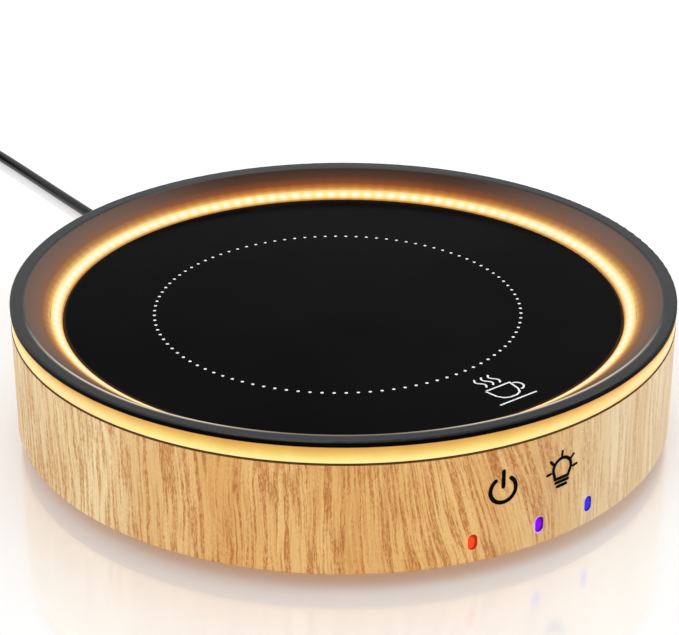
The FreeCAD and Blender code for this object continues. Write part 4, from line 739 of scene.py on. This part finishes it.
def arcPoints(centre, radius, start, end, count):
    # points of an arc between two angles in degrees, both ends included
    angles = [math.radians(start + (end - start) * i / count) for i in range(count + 1)]
    return [Vector(centre) + Vector((math.cos(a), math.sin(a))) * radius for a in angles]


def divided(pair, count):
    # a straight line cut in equal steps, so that it can follow the round wall
    start, end = Vector(pair[0]), Vector(pair[1])
    return [start.lerp(end, i / count) for i in range(count + 1)]


def printed(name, strokes, place, material):
    # one flat print of several strokes, laid on a surface by place(point)
    mesh = bmesh.new()
    for points, faces in strokes:
        corners = [mesh.verts.new(place(point)) for point in points]
        for face in faces:
            mesh.faces.new([corners[i] for i in face])
    bmesh.ops.recalc_face_normals(mesh, faces=mesh.faces)
    data = bpy.data.meshes.new(name)
    mesh.to_mesh(data)
    mesh.free()
    piece = placed(name, data)
    data.materials.append(material)
    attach(piece, "root")


ink = {"grain": 2600, "toneFrom": (0.4, 0.65), "roughSpread": 0.12, "specular": 0.02}


def inkMaterial(name, tones, rough, look):
    shade = Shade(name)
    speck = shade.noise(shade.coords(), look["grain"], 3, 0.6)
    tone = shade.blend(shade.span(speck, *look["toneFrom"]), linear(*tones[0]), linear(*tones[1]))
    return shade.paint({"Base Color": tone, "Specular IOR Level": look["specular"],
                        "Roughness": shade.vary(speck, rough, rough + look["roughSpread"])})


# prints on the plate: the dotted circle round the heater, and a cup pictogram in millimetres
platePrint = {
    "tones": ((208, 209, 210), (236, 236, 236)), "rough": 0.4, "lift": 0.03 * mm,
    "circle": 41.5 * mm, "circleMiddle": (-1.3 * mm, -2.2 * mm), "dots": 103, "dot": 0.36 * mm,
    "dotSides": 12, "line": 0.42 * mm, "sign": (32.9 * mm, -41.6 * mm), "signTurn": 38.3,
    "cup": [(-3.4, 0.9), (-3.0, -2.2), (-2.2, -3.6), (-0.9, -4.2), (0.9, -4.2), (2.2, -3.6), (3.0, -2.2),
            (3.4, 0.9)],
    "handle": {"centre": (3.5, -1.2), "radius": 1.55, "from": 78, "to": -88, "steps": 14},
    "saucer": [(-5.0, -5.6), (5.0, -5.6)],
    "steam": (-1.9, 0.0, 1.9), "steamFoot": 2.2, "steamHeight": 3.9, "steamSway": 0.55, "steamSteps": 16,
}


def cupStrokes(layout):
    cup = [Vector(p) * mm for p in layout["cup"]]
    saucer = [Vector(p) * mm for p in layout["saucer"]]
    handle = layout["handle"]
    ear = arcPoints(Vector(handle["centre"]) * mm, handle["radius"] * mm, handle["from"], handle["to"],
                    handle["steps"])
    lines = [cup + [cup[0]], saucer, ear]
    steps = layout["steamSteps"]
    for across in layout["steam"]:
        wave = [(across + layout["steamSway"] * math.sin(2 * math.pi * k / steps),
                 layout["steamFoot"] + layout["steamHeight"] * k / steps) for k in range(steps + 1)]
        lines.append([Vector(p) * mm for p in wave])
    return [stroke(line, layout["line"]) for line in lines]


def makePlatePrint(layout):
    level = plateTop + layout["lift"]
    material = inkMaterial("plate_ink", layout["tones"], layout["rough"], ink)
    sides = layout["dotSides"]
    dots = []
    for i in range(layout["dots"]):
        angle = 2 * math.pi * i / layout["dots"]
        outward = Vector((math.cos(angle), math.sin(angle)))
        middle = Vector(layout["circleMiddle"]) + outward * layout["circle"]
        dots.append((arcPoints(middle, layout["dot"], 0, 360, sides)[:-1], [tuple(range(sides))]))
    printed("heating_circle", dots, lambda p: (p.x, p.y, level), material)
    spin = Matrix.Rotation(math.radians(layout["signTurn"]), 2)
    middle = Vector(layout["sign"])

    def onPlate(point):
        there = middle + spin @ point
        return there.x, there.y, level

    printed("cup_sign", cupStrokes(layout), onPlate, material)


# touch key symbols on the sleeve: millimetres round the wall from the front, and below the plate's face
keyPrint = {
    "tones": ((5, 4, 3), (12, 9, 8)), "rough": 0.5, "lift": 0.03 * mm,
    "powerLine": 0.92, "lampLine": 0.77, "rayLine": 0.64, "lineSteps": 4, "raySteps": 3,
    "power": {"centre": (33.0, -9.1), "radius": 2.9, "from": 127.0, "to": 413.0, "steps": 48,
              "stem": ((33.0, -4.9), (33.0, -8.4)), "stemSteps": 6},
    "bulb": {"centre": (47.55, -8.3), "radius": 2.35, "from": 205, "to": -25, "steps": 36,
             "neck": ((45.75, -10.55), (49.2, -10.45))},
    "rays": (((47.41, -4.39), (47.34, -5.35)), ((50.55, -6.04), (49.84, -6.72)),
             ((51.5, -8.61), (50.55, -8.76)), ((44.42, -6.05), (45.16, -6.9)),
             ((43.62, -8.97), (44.5, -8.86))),
    "bars": (((45.95, -11.42), (49.2, -11.3)), ((46.4, -12.36), (48.75, -12.27))),
}


def roundLine(shape):
    return arcPoints(Vector(shape["centre"]), shape["radius"], shape["from"], shape["to"], shape["steps"])


def makeKeyPrints(layout):
    spread = bodyRadius + layout["lift"]

    def onSleeve(point):
        angle = point.x * mm / bodyRadius - math.pi / 2
        return spread * math.cos(angle), spread * math.sin(angle), plateTop + point.y * mm

    material = inkMaterial("key_ink", layout["tones"], layout["rough"], ink)
    power = layout["power"]
    stem = divided(power["stem"], power["stemSteps"])
    strokes = [stroke(line, layout["powerLine"]) for line in (roundLine(power), stem)]
    printed("power_symbol", strokes, onSleeve, material)
    neck = layout["bulb"]["neck"]
    left, right = neck
    outline = [Vector(left)] + roundLine(layout["bulb"]) + [Vector(right)]
    strokes = [stroke(outline, layout["lampLine"])]
    strokes += [stroke(divided(neck, layout["lineSteps"]), layout["lampLine"])]
    strokes += [stroke(divided(pair, layout["raySteps"]), layout["rayLine"]) for pair in layout["rays"]]
    strokes += [stroke(divided(pair, layout["lineSteps"]), layout["lampLine"]) for pair in layout["bars"]]
    printed("lamp_symbol", strokes, onSleeve, material)


makePlatePrint(platePrint)
makeKeyPrints(keyPrint)
print("prints laid")


# white ground that keeps a soft shadow, painted warm brown close to the sleeve, and a faint reflection
ground = {
    "half": 4.0, "near": 0.100, "far": 0.165, "mirror": 0.24, "cloud": 3, "rough": (0.08, 0.10),
    # near the sleeve the ground's own glow is warm and its matt part cool; they add up to white in the open,
    # and in the shadow leave painted warm shade
    "matt": ((0.365, 0.565, 0.68), (0.35, 0.37, 0.38)), "lift": ((0.59, 0.33, 0.19), (0.73, 0.71, 0.70)),
}
white = (1.0, 1.0, 1.0)


def makeGround(look):
    shade = Shade("ground")
    cloud = shade.noise(shade.coords(), look["cloud"], 2)
    away = shade.span(roundCoords(shade)[0], look["near"], look["far"])
    matt = shade.node("BsdfDiffuse", None, {"Color": shade.blend(away, *look["matt"])})
    # the ground's own glow, warm near the sleeve: painted warm shade in the shadow there
    lift = shade.node("Emission", None, {"Color": shade.blend(away, *look["lift"]), "Strength": 1.0})
    body = shade.node("AddShader", None, {0: matt, 1: lift})
    gloss = shade.node("BsdfGlossy", None, {"Color": white, "Roughness": shade.vary(cloud, *look["rough"])})
    shade.close(shade.node("MixShader", None, {0: look["mirror"], 1: body, 2: gloss}))
    half = look["half"]
    data = bpy.data.meshes.new("ground")
    data.from_pydata([(-half, -half, 0), (half, -half, 0), (half, half, 0), (-half, half, 0)], [],
                     [(0, 1, 2, 3)])
    sheet = placed("ground", data)
    data.materials.append(shade.material)


# light: a white dome seen by the camera, dimmer for everything else, and large soft lamps
lighting = {
    "dome": 0.70, "horizon": 0.82, "rise": (0.2, 0.9),
    "lamps": {
        "key": {"place": (-0.5, -0.9, 1.3), "size": 1.0, "power": 9.0, "colour": (1.0, 0.985, 0.96)},
        "top": {"place": (0.15, 0.35, 1.5), "size": 1.1, "power": 8.0, "colour": (1.0, 1.0, 1.0)},
        "right": {"place": (1.2, -0.2, 0.8), "size": 0.8, "power": 4.0, "colour": (1.0, 0.99, 0.97)},
    },
}


def makeLight(look):
    shade = Shade("surroundings", world=True)
    up = shade.parts(shade.node("TexCoord", out=0))[2]
    level = shade.span(up, *look["rise"], look["horizon"], look["dome"])
    shown = shade.node("Background", None, {"Color": white, "Strength": 1.0})
    around = shade.node("Background", None, {"Color": white, "Strength": level})
    camera = shade.node("LightPath", out=0)
    mixed = shade.node("MixShader", None, {0: camera, 1: around, 2: shown})
    bpy.context.scene.world = shade.close(mixed, "OutputWorld")
    for name, lamp in look["lamps"].items():
        data = bpy.data.lights.new(name, "AREA")
        data.size = lamp["size"]
        data.energy = lamp["power"]
        data.color = lamp["colour"]
        light = placed(name, data)
        light.location = lamp["place"]
        light.rotation_euler = (-Vector(lamp["place"])).to_track_quat("-Z", "Y").to_euler()


makeGround(ground)
makeLight(lighting)
bpy.context.scene.view_settings.view_transform = "Standard"
print("ground and light set")
